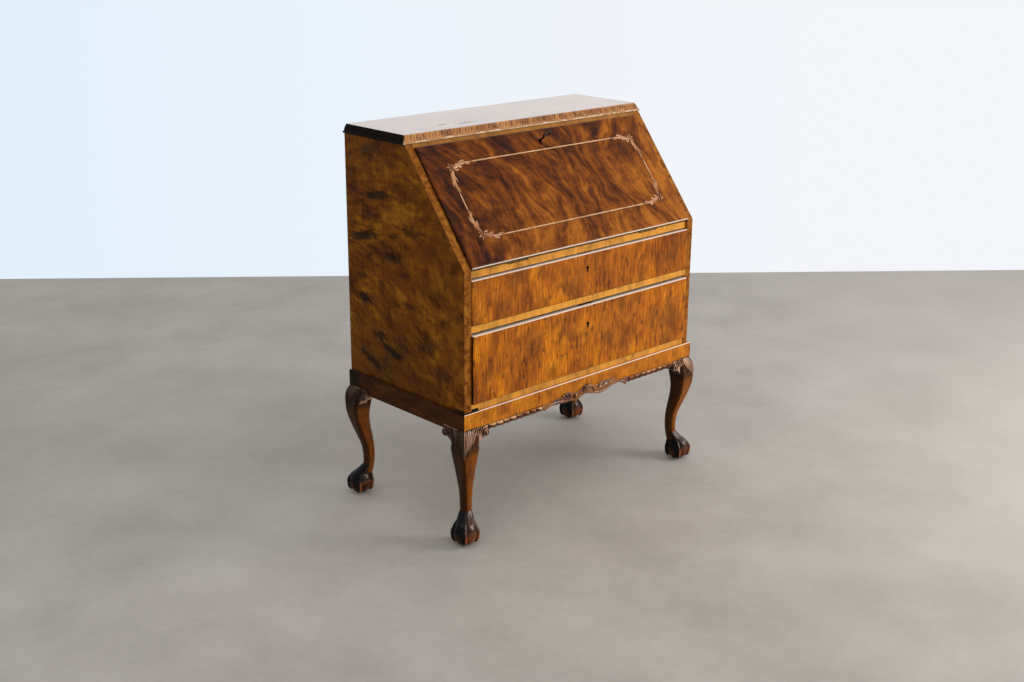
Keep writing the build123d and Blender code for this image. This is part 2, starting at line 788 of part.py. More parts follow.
ear_depth = POST_SIZE / 2 + EAR_PROJECTION
ear_front_plane = Plane(
    origin=(corner_x, corner_y - EAR_PROJECTION + ear_depth, LEG_HEIGHT),
    x_dir=(1, 0, 0),
    z_dir=(0, -1, 0),
)
ear_side_plane = Plane(
    origin=(corner_x - EAR_PROJECTION, corner_y, LEG_HEIGHT), x_dir=(0, 1, 0), z_dir=(1, 0, 0)
)
with BuildPart() as ears_front_left:
    ear_block(ear_front_plane, ear_depth)
    ear_block(ear_side_plane, ear_depth)
    add(leg_front_left.part, mode=Mode.SUBTRACT)
    add(apron_front.part, mode=Mode.SUBTRACT)
    add(apron_left.part, mode=Mode.SUBTRACT)

with BuildPart() as ears_back_left:
    ear_block(ear_front_plane, ear_depth)
    ear_block(ear_side_plane, ear_depth)
    mirror(about=Plane.XZ, mode=Mode.REPLACE)
    add(leg_back_left.part, mode=Mode.SUBTRACT)
    add(apron_back.part, mode=Mode.SUBTRACT)
    add(apron_left.part, mode=Mode.SUBTRACT)

with BuildPart() as knee_ears:
    add(ears_front_left.part)
    add(ears_back_left.part)
    mirror(about=Plane.YZ)
save(knee_ears, "knee_ears")

# Glue blocks in the frame's corners, and the long screws that hold the case down on them
with BuildPart() as corner_blocks:
    block_corner_x = frame_half_width - APRON_THICK
    block_corner_y = frame_half_depth - POST_SIZE
    with BuildSketch(Plane.XY.offset(case_bottom - CORNER_BLOCK_HEIGHT)):
        with BuildLine():
            Polyline(
                (block_corner_x, block_corner_y),
                (block_corner_x - CORNER_BLOCK_LEG, block_corner_y),
                (block_corner_x, block_corner_y - CORNER_BLOCK_LEG),
                close=True,
            )
        make_face()
    extrude(amount=CORNER_BLOCK_HEIGHT)
    with Locations((corner_inner_x, corner_inner_y, case_bottom)):
        Cylinder(CASE_SCREW_RADIUS + PIN_CLEAR, 2 * CASE_SCREW_LENGTH, mode=Mode.SUBTRACT)
    mirror(about=Plane.YZ)
    mirror(about=Plane.XZ)
save(corner_blocks, "corner_blocks")

with BuildPart() as frame_screws:
    screw_foot = case_bottom - CORNER_BLOCK_HEIGHT
    with Locations((corner_inner_x, corner_inner_y, screw_foot)):
        Cylinder(
            CASE_SCREW_RADIUS, CASE_SCREW_LENGTH, align=(Align.CENTER, Align.CENTER, Align.MIN)
        )
        Cylinder(
            CASE_SCREW_HEAD_RADIUS,
            CASE_SCREW_RADIUS,
            align=(Align.CENTER, Align.CENTER, Align.MAX),
        )
    mirror(about=Plane.YZ)
    mirror(about=Plane.XZ)
save(frame_screws, "frame_screws")


# Locks, the same pattern in the fall and in both drawers
def keyhole(plane, drop, circle, slot, low):
    """Keyhole outline: a round above a straight slot."""
    with BuildSketch(plane) as hole:
        with Locations((0, -drop)):
            Circle(circle)
        with Locations((0, -drop - low / 2)):
            Rectangle(slot, low)
    return hole.sketch


def visible_keyhole(lock, grow):
    """The keyhole as seen on the front, grown by the liner's wall where asked."""
    plane = lock_planes[lock].offset(LOCK_DEPTH)
    low = KEYHOLE_TALL - KEYHOLE_RADIUS + grow
    return keyhole(plane, key_drops[lock], KEYHOLE_RADIUS + grow, KEYHOLE_SLOT + 2 * grow, low)


def lock_pocket(lock):
    """Room for a lock and its liner in the board being built."""
    deep = key_drops[lock] + LOCK_MARGIN
    block_on(
        lock_planes[lock],
        (-LOCK_WIDTH / 2, -deep, -OVERRUN),
        (LOCK_WIDTH / 2, OVERRUN, LOCK_DEPTH),
        Mode.SUBTRACT,
    )
    extrude(visible_keyhole(lock, LINER_WALL), amount=board_thick[lock], mode=Mode.SUBTRACT)


def lock_case(lock):
    """Sheet case with its bolt slot and its own tight keyhole, and the liner in the wood."""
    plane = lock_planes[lock]
    deep = key_drops[lock] + LOCK_MARGIN
    with BuildPart() as case:
        block_on(plane, (-LOCK_WIDTH / 2, -deep, 0), (LOCK_WIDTH / 2, 0, LOCK_DEPTH))
        block_on(
            plane,
            (LOCK_WALL - LOCK_WIDTH / 2, LOCK_WALL - deep, LOCK_WALL),
            (LOCK_WIDTH / 2 - LOCK_WALL, -LOCK_WALL, LOCK_DEPTH - LOCK_WALL),
            Mode.SUBTRACT,
        )
        block_on(
            plane,
            (-BOLT_WIDTH / 2 - RUN_CLEAR, -OVERRUN, BOLT_SET - RUN_CLEAR),
            (BOLT_WIDTH / 2 + RUN_CLEAR, OVERRUN, BOLT_SET + BOLT_THICK + RUN_CLEAR),
            Mode.SUBTRACT,
        )
        tight = keyhole(
            plane.offset(LOCK_DEPTH - 2 * LOCK_WALL),
            key_drops[lock],
            KEY_SHANK_RADIUS + PIN_CLEAR,
            KEY_BIT_THICK + 2 * RUN_CLEAR,
            KEY_BIT_REACH + RUN_CLEAR,
        )
        extrude(tight, amount=2 * LOCK_WALL, mode=Mode.SUBTRACT)
        liner = board_thick[lock] - LOCK_DEPTH - JOINT_CLEAR
        above = plane.z_dir * JOINT_CLEAR
        extrude(visible_keyhole(lock, LINER_WALL).moved(Location(above)), amount=liner)
        extrude(
            visible_keyhole(lock, 0).moved(Location(above)), amount=liner, mode=Mode.SUBTRACT
        )
    save(case, f"{lock}_lock")


def lock_bolt(lock):
    """Bolt of one lock, drawn in level with the board's edge."""
    with BuildPart() as bolt:
        block_on(
            lock_planes[lock],
            (-BOLT_WIDTH / 2, -BOLT_HEIGHT, BOLT_SET),
            (BOLT_WIDTH / 2, 0, BOLT_SET + BOLT_THICK),
        )
    save(bolt, f"{lock}_bolt")


for lock_name in lock_planes:
    lock_case(lock_name)
    lock_bolt(lock_name)

# Key, standing in the fall's lock with its bit hanging down
key_plane = Plane(lock_planes["fall"].location * Location((0, -FALL_KEY_DROP, 0)))
with BuildPart() as key:
    tip = LOCK_WALL + RUN_CLEAR
    bow_low = FALL_THICK + KEY_STAND
    with BuildSketch(key_plane.offset(tip)):
        Circle(KEY_SHANK_RADIUS)
    extrude(amount=bow_low - tip)
    with BuildSketch(key_plane.offset(FALL_THICK + KEY_COLLAR_LENGTH)):
        Circle(KEY_COLLAR_RADIUS)
    extrude(amount=KEY_COLLAR_LENGTH)
    block_on(
        key_plane,
        (-KEY_BIT_THICK / 2, -KEY_BIT_REACH, BOLT_SET - RUN_CLEAR),
        (KEY_BIT_THICK / 2, 0, BOLT_SET - RUN_CLEAR + KEY_BIT_DEPTH),
    )
    bow_middle = bow_low + KEY_BOW_WIDTH / 2 - KEY_BOW_WIRE
    with Locations(key_plane.location * Location((0, 0, bow_middle), (90, 0, 0))):
        Torus(KEY_BOW_WIDTH / 2 - KEY_BOW_WIRE, KEY_BOW_WIRE)
save(key, "key")


# Countersunk screws, all alike, driven square into a face
def screw(place, grow, mode=Mode.ADD):
    """One screw, or its hole when grown, with its head level with the face."""
    down = (Align.CENTER, Align.CENTER, Align.MAX)
    with Locations(place):
        Cone(
            SCREW_RADIUS + grow, SCREW_HEAD_RADIUS + grow, SCREW_HEAD_DEPTH, align=down, mode=mode
        )
        Cylinder(SCREW_RADIUS + grow, SCREW_LENGTH, align=down, mode=mode)


fall_inner_plane = Plane(
    origin=(0, hinge_y, hinge_z), x_dir=(-1, 0, 0), z_dir=(0, math.sin(slope), -math.cos(slope))
)
stay_leaf_inside = (
    STAY_PLATE_THICK + 2 * STAY_LINK_THICK + 3 * STAY_LAYER_GAP + STAY_STUD_PROJECTION + STAY_HEAD_THICK
)


def bed_screws(x):
    """Places of the screws of one hinge leaf on the writing bed."""
    y = hinge_y + hinge_screw_set
    return [Location((x + along, y, hinge_z)) for along in hinge_screw_places]


def fall_leaf_screws(x):
    """Places of the screws of one hinge leaf on the fall."""
    base = fall_inner_plane.location
    return [base * Location((-x - along, hinge_screw_set, 0)) for along in hinge_screw_places]


def bracket_screws(hand):
    """Places of the two screws of a stay bracket on the fall."""
    base = fall_inner_plane.location
    x = inner_half - stay_leaf_inside - STAY_LINK_THICK - STAY_BRACKET_FOOT / 2
    return [
        base * Location((-hand * x, STAY_EYE_OUT + across * STAY_BRACKET_FOOT / 2, STAY_LINK_THICK))
        for across in (-1, 1)
    ]


def plate_screws(hand):
    """Places of the two screws of a stay plate on one side."""
    face = Plane(
        origin=(hand * (inner_half - STAY_PLATE_THICK), 0, 0), x_dir=(0, 1, 0), z_dir=(-hand, 0, 0)
    )
    places = [stay_screw_place(across) for across in (-1, 1)]
    return [face.location * Location((y, -hand * z, 0)) for y, z in places]


with BuildPart() as case_screws:
    for hinge_x in hinge_places:
        for place in bed_screws(hinge_x):
            screw(place, 0)
    for hand in (-1, 1):
        for place in plate_screws(hand):
            screw(place, 0)
save(case_screws, "case_screws")

with BuildPart() as fall_screws:
    for hinge_x in hinge_places:
        for place in fall_leaf_screws(hinge_x):
            screw(place, 0)
    for hand in (-1, 1):
        for place in bracket_screws(hand):
            screw(place, 0)
save(fall_screws, "fall_screws")


# Hinges: three knuckles round one pin, the middle one on the fall
hinge_half = HINGE_LENGTH / 2
knuckle_edge = hinge_half - HINGE_BARREL_LENGTH
barrel_clear = HINGE_BARREL_RADIUS + HINGE_CLEAR


def knuckle(low, high):
    """One knuckle of a hinge between two places along the hinge line."""
    with BuildSketch(hinge_plane.offset(low)) as ring:
        Circle(HINGE_BARREL_RADIUS)
    extrude(ring.sketch, amount=high - low)


def pin_hole(x):
    with BuildSketch(hinge_plane.offset(x - hinge_half)) as hole:
        Circle(HINGE_PIN_RADIUS + PIN_CLEAR)
    extrude(hole.sketch, amount=HINGE_LENGTH, mode=Mode.SUBTRACT)


with BuildPart() as hinge_leaves_bed:
    for hinge_x in hinge_places:
        block(
            (hinge_x - hinge_half, hinge_y + barrel_clear, hinge_z - HINGE_LEAF_THICK),
            (hinge_x + hinge_half, hinge_y + HINGE_LEAF_DEPTH, hinge_z),
        )
        for low, high in ((-hinge_half, -knuckle_edge), (knuckle_edge, hinge_half)):
            block(
                (hinge_x + low, hinge_y, hinge_z - HINGE_LEAF_THICK),
                (hinge_x + high, hinge_y + barrel_clear, hinge_z),
            )
            knuckle(hinge_x + low, hinge_x + high)
        pin_hole(hinge_x)
        for place in bed_screws(hinge_x):
            screw(place, PIN_CLEAR, Mode.SUBTRACT)
save(hinge_leaves_bed, "hinge_leaves_bed")

with BuildPart() as hinge_leaves_fall:
    leaf_face = HINGE_LEAF_THICK - fall_inside
    tongue = knuckle_edge - HINGE_CLEAR
    for hinge_x in hinge_places:
        block_on(
            fall_plane,
            (hinge_x - hinge_half, barrel_clear, -fall_inside),
            (hinge_x + hinge_half, HINGE_LEAF_DEPTH, leaf_face),
        )
        block_on(
            fall_plane,
            (hinge_x - tongue, 0, -fall_inside),
            (hinge_x + tongue, barrel_clear, leaf_face),
        )
        knuckle(hinge_x - tongue, hinge_x + tongue)
        pin_hole(hinge_x)
        for place in fall_leaf_screws(hinge_x):
            screw(place, PIN_CLEAR, Mode.SUBTRACT)
save(hinge_leaves_fall, "hinge_leaves_fall")

with BuildPart() as hinge_pins:
    for hinge_x in hinge_places:
        with BuildSketch(hinge_plane.offset(hinge_x - hinge_half)):
            Circle(HINGE_PIN_RADIUS)
    extrude(amount=HINGE_LENGTH)
save(hinge_pins, "hinge_pins")

# Fall front
fall_half = inner_half - SIDE_CLEAR
with BuildPart() as fall_panel:
    block_on(fall_plane, (-fall_half, 0, -fall_inside), (fall_half, fall_length, FALL_PROUD))
    show_face = fall_panel.faces().sort_by(Axis((0, 0, 0), tuple(fall_plane.z_dir)))[-1]
    fillet(show_face.edges(), FALL_EDGE_ROUND)
    for hinge_x in hinge_places:
        half = hinge_half + PIN_CLEAR
        block_on(
            fall_plane,
            (hinge_x - half, -OVERRUN, -fall_inside - OVERRUN),
            (hinge_x + half, HINGE_LEAF_DEPTH + PIN_CLEAR, leaf_face),
            Mode.SUBTRACT,
        )
        with BuildSketch(hinge_plane.offset(hinge_x - half)):
            Circle(barrel_clear)
        extrude(amount=2 * half, mode=Mode.SUBTRACT)
        for place in fall_leaf_screws(hinge_x):
            screw(place, PIN_CLEAR, Mode.SUBTRACT)
    for hand in (-1, 1):
        for place in bracket_screws(hand):
            screw(place, PIN_CLEAR, Mode.SUBTRACT)
    lock_pocket("fall")
save(fall_panel, "fall_panel")

show_plane = fall_plane.offset(FALL_PROUD)
with BuildPart() as fall_string:
    across = STRING_HALF_WIDTH - CORNER_CARVING_LENGTH
    for level in (STRING_LOW, STRING_HIGH):
        with BuildSketch(show_plane):
            with Locations((0, level)):
                Rectangle(2 * across, STRING_WIDTH)
        extrude(amount=STRING_RELIEF)
    for hand in (-1, 1):
        rise = STRING_HIGH - STRING_LOW - 2 * CORNER_CARVING_HEIGHT
        with BuildSketch(show_plane):
            with Locations((hand * STRING_HALF_WIDTH, (STRING_LOW + STRING_HIGH) / 2)):
                Rectangle(STRING_WIDTH, rise)
        extrude(amount=STRING_RELIEF)
save(fall_string, "fall_string")

# One carved corner of the panel, in shares of its reach along each string from the corner
CORNER_OUTLINE_SHARES = (
    (1.0, 0.0), (0.8, -0.05), (0.58, -0.02), (0.34, -0.08), (0.12, -0.07), (-0.06, -0.12),
    (-0.1, 0.02), (-0.07, 0.2), (-0.1, 0.38), (-0.02, 0.6), (-0.06, 0.8), (0.0, 1.0),
)
CORNER_INSIDE_SHARES = (
    (0.0, 1.0), (0.1, 0.8), (0.07, 0.6), (0.2, 0.46), (0.16, 0.3), (0.3, 0.24), (0.4, 0.14),
    (0.56, 0.1), (0.78, 0.12), (1.0, 0.0),
)


def corner_points(shares, hand, level, rise):
    """Places on the panel of one edge of a carved corner."""
    return [
        (
            hand * (STRING_HALF_WIDTH - a * CORNER_CARVING_LENGTH),
            level + rise * b * CORNER_CARVING_HEIGHT,
        )
        for a, b in shares
    ]


with BuildPart() as fall_corner_carvings:
    for hand in (-1, 1):
        for level, rise in ((STRING_LOW, 1), (STRING_HIGH, -1)):
            with BuildSketch(show_plane):
                with BuildLine():
                    Spline(*corner_points(CORNER_OUTLINE_SHARES, hand, level, rise))
                    Spline(*corner_points(CORNER_INSIDE_SHARES, hand, level, rise))
                make_face()
            extrude(amount=CORNER_CARVING_RELIEF)
save(fall_corner_carvings, "fall_corner_carvings")


# Folding stays
def stay_layer(hand, inside, thick):
    """Plane of one flat layer of a stay, counted from the side's inner face inwards."""
    x = hand * (inner_half - inside)
    return Plane(origin=(min(x, x - hand * thick), hinge_y, hinge_z), x_dir=(0, 1, 0), z_dir=(1, 0, 0))


upper_layer = STAY_PLATE_THICK + STAY_LAYER_GAP
lower_layer = upper_layer + STAY_LINK_THICK + STAY_LAYER_GAP


def round_bar(hand, place, radius, outside, inside):
    """Round of a rivet or stud between two depths from the side's inner face."""
    with BuildSketch(stay_layer(hand, outside, inside - outside)) as bar:
        with Locations(place):
            Circle(radius)
    extrude(bar.sketch, amount=inside - outside)


def link_bar(hand, start, end, layer, holes):
    """Flat link with round ends, with a running hole at each place given."""
    middle = ((start[0] + end[0]) / 2, (start[1] + end[1]) / 2)
    angle = math.degrees(math.atan2(end[1] - start[1], end[0] - start[0]))
    with BuildSketch(stay_layer(hand, layer, STAY_LINK_THICK)) as bar:
        with Locations(middle):
            SlotCenterToCenter(math.dist(start, end), STAY_LINK_WIDTH, rotation=angle)
        with Locations(*holes):
            Circle(STAY_RIVET_RADIUS + PIN_CLEAR, mode=Mode.SUBTRACT)
    extrude(bar.sketch, amount=STAY_LINK_THICK)


with BuildPart() as stay_plates:
    head_layer = upper_layer + STAY_LINK_THICK + STAY_LAYER_GAP / 2
    for hand in (-1, 1):
        with BuildSketch(stay_layer(hand, 0, STAY_PLATE_THICK)):
            with Locations(stay_stud):
                RectangleRounded(
                    STAY_PLATE_SIZE, STAY_PLATE_SIZE * 0.6, STAY_RIVET_RADIUS
                )
        extrude(amount=STAY_PLATE_THICK)
        round_bar(hand, stay_stud, STAY_RIVET_RADIUS, STAY_PLATE_THICK, head_layer)
        round_bar(hand, stay_stud, STAY_HEAD_RADIUS, head_layer, head_layer + STAY_HEAD_THICK)
        for place in plate_screws(hand):
            screw(place, PIN_CLEAR, Mode.SUBTRACT)
save(stay_plates, "stay_plates")

for hand, side_name in ((-1, "left"), (1, "right")):
    with BuildPart() as upper_link:
        link_bar(hand, stay_stud, stay_elbow, upper_layer, [stay_stud])
        tail = upper_layer + STAY_LINK_THICK
        head = lower_layer + STAY_LINK_THICK + STAY_LAYER_GAP / 2
        round_bar(hand, stay_elbow, STAY_HEAD_RADIUS, upper_layer - STAY_HEAD_THICK, upper_layer)
        round_bar(hand, stay_elbow, STAY_RIVET_RADIUS, tail, head)
        round_bar(hand, stay_elbow, STAY_HEAD_RADIUS, head, head + STAY_HEAD_THICK)
    save(upper_link, f"stay_upper_{side_name}")
    with BuildPart() as lower_link:
        link_bar(hand, stay_elbow, stay_eye, lower_layer, [stay_elbow, stay_eye])
    save(lower_link, f"stay_lower_{side_name}")

# Brackets on the fall. Their studs face the lower links' eyes and stop short of them.
with BuildPart() as stay_brackets:
    eye_radius = STAY_LINK_WIDTH / 2
    foot_half = STAY_BRACKET_FOOT
    for hand in (-1, 1):
        leaf = inner_half - stay_leaf_inside
        edges = sorted((-hand * leaf, -hand * (leaf - STAY_LINK_THICK)))
        foot_edges = sorted((-hand * leaf, -hand * (leaf - STAY_LINK_THICK - STAY_BRACKET_FOOT)))
        block_on(
            fall_inner_plane,
            (foot_edges[0], STAY_EYE_OUT - foot_half, 0),
            (foot_edges[1], STAY_EYE_OUT + foot_half, STAY_LINK_THICK),
        )
        block_on(
            fall_inner_plane,
            (edges[0], STAY_EYE_OUT - eye_radius, 0),
            (edges[1], STAY_EYE_OUT + eye_radius, STAY_EYE_IN),
        )
        round_bar(hand, stay_eye, eye_radius, stay_leaf_inside, stay_leaf_inside + STAY_LINK_THICK)
        round_bar(
            hand, stay_eye, STAY_RIVET_RADIUS, stay_leaf_inside - STAY_STUD_PROJECTION, stay_leaf_inside
        )
        for place in bracket_screws(hand):
            screw(place, PIN_CLEAR, Mode.SUBTRACT)
save(stay_brackets, "stay_brackets")


# Drawers
def drawer(name, floor, ceiling, proud):
    """Long drawer: a thick front, two sides, a back and a loose bottom in grooves."""
    half = inner_half - SIDE_CLEAR
    face = case_front - proud
    behind = face + FRONT_THICK
    end = drawer_end
    side_top = ceiling - DRAWER_SIDE_DROP
    low = floor + RUN_CLEAR
    bottom_low = low + DRAWER_BOTTOM_RAISE
    bottom_high = bottom_low + DRAWER_BOTTOM_THICK
    inside = half - DRAWER_SIDE_THICK
    groove = inside + DRAWER_GROOVE
    bottom = ((-groove, behind - DRAWER_GROOVE, bottom_low), (groove, end, bottom_high))
    with BuildPart() as front:
        block((-half, face, floor + FRONT_CLEAR), (half, behind, front_tops[name]))
        fillet(front.faces().sort_by(Axis.Y)[0].edges(), FRONT_ROUND)
        block(*bottom, Mode.SUBTRACT)
        lock_pocket(name)
    save(front, f"{name}_front")
    with BuildPart() as box:
        for hand in (-1, 1):
            edges = sorted((hand * inside, hand * half))
            block((edges[0], behind, low), (edges[1], end, side_top))
        block(
            (JOINT_CLEAR - inside, end - DRAWER_SIDE_THICK, bottom_high),
            (inside - JOINT_CLEAR, end, side_top),
        )
        block(*bottom, Mode.SUBTRACT)
    save(box, f"{name}_box")
    with BuildPart() as board:
        block(*bottom)
    save(board, f"{name}_bottom")


drawer("drawer_lower", lower_floor, lower_ceiling, LOWER_FRONT_PROUD)
drawer("drawer_upper", upper_floor, upper_ceiling, UPPER_FRONT_PROUD)

# Writing gallery behind the fall: small drawers below, open pigeonholes above
gallery_half = inner_half - GALLERY_SIDE_GAP
gallery_inside = gallery_half - GALLERY_BOARD
shelf_low = hinge_z + GALLERY_DRAWER_ROOM
shelf_high = shelf_low + GALLERY_BOARD
gallery_low = shelf_high + PIGEONHOLE_ROOM


def cells(count):
    """Left edges and width of equal cells between the gallery's ends."""
    width = (2 * gallery_inside - (count - 1) * GALLERY_BOARD) / count
    return [-gallery_inside + index * (width + GALLERY_BOARD) for index in range(count)], width


with BuildPart() as gallery_case:
    for low in (shelf_low, gallery_low):
        block(
            (JOINT_CLEAR - gallery_inside, GALLERY_FRONT, low),
            (gallery_inside - JOINT_CLEAR, back_face, low + GALLERY_BOARD),
        )
    for count, low, high in (
        (SMALL_DRAWERS, hinge_z, shelf_low),
        (PIGEONHOLES, shelf_high, gallery_low),
    ):
        starts, width = cells(count)
        for start in starts[1:]:
            block(
                (start - GALLERY_BOARD, GALLERY_FRONT, low + JOINT_CLEAR),
                (start, back_face, high - JOINT_CLEAR),
            )
    for hand in (-1, 1):
        edges = sorted((hand * gallery_inside, hand * gallery_half))
        block(
            (edges[0], GALLERY_FRONT, hinge_z),
            (edges[1], back_face, gallery_low + GALLERY_BOARD),
        )
save(gallery_case, "gallery_case")

small_starts, small_width = cells(SMALL_DRAWERS)
for start, side_name in zip(small_starts, ("left", "middle", "right")):
    with BuildPart() as small_drawer:
        left = start + RUN_CLEAR
        right = start + small_width - RUN_CLEAR
        floor = hinge_z + RUN_CLEAR
        ceiling = shelf_low - FALL_CLEAR
        behind = GALLERY_FRONT + 2 * SMALL_DRAWER_WALL
        end = back_face - FRONT_CLEAR
        block((left, GALLERY_FRONT, floor), (right, behind, ceiling))
        tray_front = behind + JOINT_CLEAR
        tray_left = left + SMALL_DRAWER_WALL
        tray_right = right - SMALL_DRAWER_WALL
        tray_back = end - SMALL_DRAWER_WALL
        block((left, tray_front, floor), (tray_left, end, ceiling))
        block((tray_right, tray_front, floor), (right, end, ceiling))
        block(
            (tray_left + JOINT_CLEAR, tray_back, floor),
            (tray_right - JOINT_CLEAR, end, ceiling),
        )
        block(
            (tray_left + JOINT_CLEAR, tray_front, floor),
            (tray_right - JOINT_CLEAR, tray_back - JOINT_CLEAR, floor + SMALL_DRAWER_WALL),
        )
        knob_face = GALLERY_FRONT - JOINT_CLEAR
        middle = ((left + right) / 2, knob_face, (floor + ceiling) / 2)
        with BuildSketch(Plane(origin=middle, x_dir=(1, 0, 0), z_dir=(0, -1, 0))):
            Circle(SMALL_KNOB_RADIUS / 2)
        extrude(amount=SMALL_KNOB_LENGTH - SMALL_KNOB_RADIUS)
        with Locations((middle[0], knob_face - SMALL_KNOB_LENGTH + SMALL_KNOB_RADIUS, middle[2])):
            Sphere(SMALL_KNOB_RADIUS)
    save(small_drawer, f"gallery_drawer_{side_name}")
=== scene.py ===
"""Fall front secretaire in figured walnut on a carved stand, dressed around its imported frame."""
import math

import bpy
from mathutils import Matrix, Vector


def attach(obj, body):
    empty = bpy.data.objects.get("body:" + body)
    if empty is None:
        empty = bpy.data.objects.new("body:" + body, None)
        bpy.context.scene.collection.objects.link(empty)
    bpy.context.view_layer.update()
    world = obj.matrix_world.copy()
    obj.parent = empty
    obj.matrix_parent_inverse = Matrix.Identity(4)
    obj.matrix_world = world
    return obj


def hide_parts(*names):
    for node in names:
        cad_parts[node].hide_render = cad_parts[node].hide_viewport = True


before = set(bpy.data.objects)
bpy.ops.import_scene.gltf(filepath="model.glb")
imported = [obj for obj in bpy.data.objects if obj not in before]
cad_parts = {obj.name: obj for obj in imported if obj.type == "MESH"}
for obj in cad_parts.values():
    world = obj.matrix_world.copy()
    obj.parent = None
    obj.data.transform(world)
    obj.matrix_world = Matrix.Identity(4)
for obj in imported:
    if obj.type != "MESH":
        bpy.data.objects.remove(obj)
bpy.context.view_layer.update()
bpy.ops.object.select_all(action="DESELECT")

# Camera. It stands to the left of the desk and a little over head height for a seated person,
# and looks down at the near corner.
turn, tip, lean = (math.radians(angle) for angle in (43.56, 18.21, 0.48))
ahead = Vector((math.sin(turn) * math.cos(tip), math.cos(turn) * math.cos(tip), -math.sin(tip)))
level = Vector((math.cos(turn), -math.sin(turn), 0))
upward = level.cross(ahead)
across = level * math.cos(lean) + upward * math.sin(lean)
upright = upward * math.cos(lean) - level * math.sin(lean)
eye = Vector((-2.5666, -2.6431, 1.6229))
bpy.ops.object.camera_add()
camera = bpy.context.object
camera.name = "camera"
camera.data.lens = 47.67
camera.data.sensor_width = 36
camera.matrix_world = Matrix.Translation(eye) @ Matrix((across, upright, -ahead)).transposed().to_4x4()
bpy.context.scene.camera = camera


class Grain:
    """A socket in a finish. Operators on it add Math nodes, and make adds any other node."""

    def __init__(self, tree, socket=None):
        self.tree = tree
        self.socket = socket

    def make(self, kind, settings, sockets, out=0):
        node = self.tree.nodes.new("ShaderNode" + kind)
        for name, value in settings.items():
            if name == "stops":
                stops = node.color_ramp.elements
                for _ in value[2:]:
                    stops.new(1)
                for stop, (place, colour) in zip(stops, value):
                    stop.position = place
                    stop.color = (*colour, 1)
            else:
                setattr(node, name, value)
        for name, value in sockets.items():
            if isinstance(value, Grain):
                self.tree.links.new(value.socket, node.inputs[name])
            else:
                node.inputs[name].default_value = value
        return Grain(self.tree, node.outputs[out])

    def __add__(self, other):
        return self.make("Math", {"operation": "ADD"}, {0: self, 1: other})

    def __sub__(self, other):
        return self.make("Math", {"operation": "SUBTRACT"}, {0: self, 1: other})

    def __rsub__(self, other):
        return self.make("Math", {"operation": "SUBTRACT"}, {0: other, 1: self})

    def __mul__(self, other):
        return self.make("Math", {"operation": "MULTIPLY"}, {0: self, 1: other})

    def __lt__(self, other):
        return self.make("Math", {"operation": "LESS_THAN"}, {0: self, 1: other})

    def __gt__(self, other):
        return self.make("Math", {"operation": "GREATER_THAN"}, {0: self, 1: other})

    __radd__ = __add__
    __rmul__ = __mul__


def noise(place, scale, detail=4.0, roughness=0.55, distortion=0.0):
    """Noise stretched by one scale for each axis, in bumps a metre."""
    stretched = place.make("Mapping", {}, {"Vector": place, "Scale": scale})
    sockets = {"Vector": stretched, "Scale": 1, "Detail": detail, "Roughness": roughness}
    return place.make("TexNoise", {}, {**sockets, "Distortion": distortion})


def ramp(value, *stops):
    """Colours along a value."""
    return value.make("ValToRGB", {"stops": stops}, {0: value})


def step(value, low, high):
    """0 below low, 1 above high, and smooth between them."""
    settings = {"interpolation_type": "SMOOTHSTEP"}
    return value.make("MapRange", settings, {"Value": value, 1: low, 2: high})


def mixed(share, first, second):
    """A colour between two, where share is the second's part of it."""
    first, second = (end if isinstance(end, Grain) else (*end, 1) for end in (first, second))
    return share.make("Mix", {"data_type": "RGBA"}, {0: share, 6: first, 7: second}, 2)


def along(place, direction):
    """How far a place lies along a direction."""
    return place.make("VectorMath", {"operation": "DOT_PRODUCT"}, {0: place, 1: direction}, "Value")


def oval(place, middle, halves, tilt=0):
    """How far a place lies from the middle of an oval tilted about x. At its rim that is 1."""
    near = place.make(
        "Mapping", {"vector_type": "TEXTURE"},
        {"Vector": place, "Location": middle, "Rotation": (tilt, 0, 0), "Scale": halves},
    )
    return place.make("VectorMath", {"operation": "LENGTH"}, {0: near}, "Value")


def finish(name):
    """A new finish: its material, the places on the object, and its shader's sockets."""
    material = bpy.data.materials.new(name)
    material.use_nodes = True
    tree = material.node_tree
    place = Grain(tree).make("TexCoord", {}, {}, "Object")
    return material, place, tree.nodes["Principled BSDF"].inputs


def lay(place, shader, colour, rough, bump, depth, gloss, coat):
    """Join a colour, a roughness and a bump height to the shader, with its gloss and polish."""
    tree = place.tree
    tree.links.new(colour.socket, shader["Base Color"])
    tree.links.new(rough.socket, shader["Roughness"])
    shader["Specular IOR Level"].default_value = gloss
    shader["Coat Weight"].default_value = coat
    shader["Coat Roughness"].default_value = 0.15
    relief = place.make("Bump", {}, {"Strength": 0.6, "Distance": depth, "Height": bump})
    tree.links.new(relief.socket, shader["Normal"])


def dress(material, *nodes):
    """Give whole boards of the frame one finish."""
    for node in nodes:
        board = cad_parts[node]
        board.data.materials.clear()
        board.data.materials.append(material)


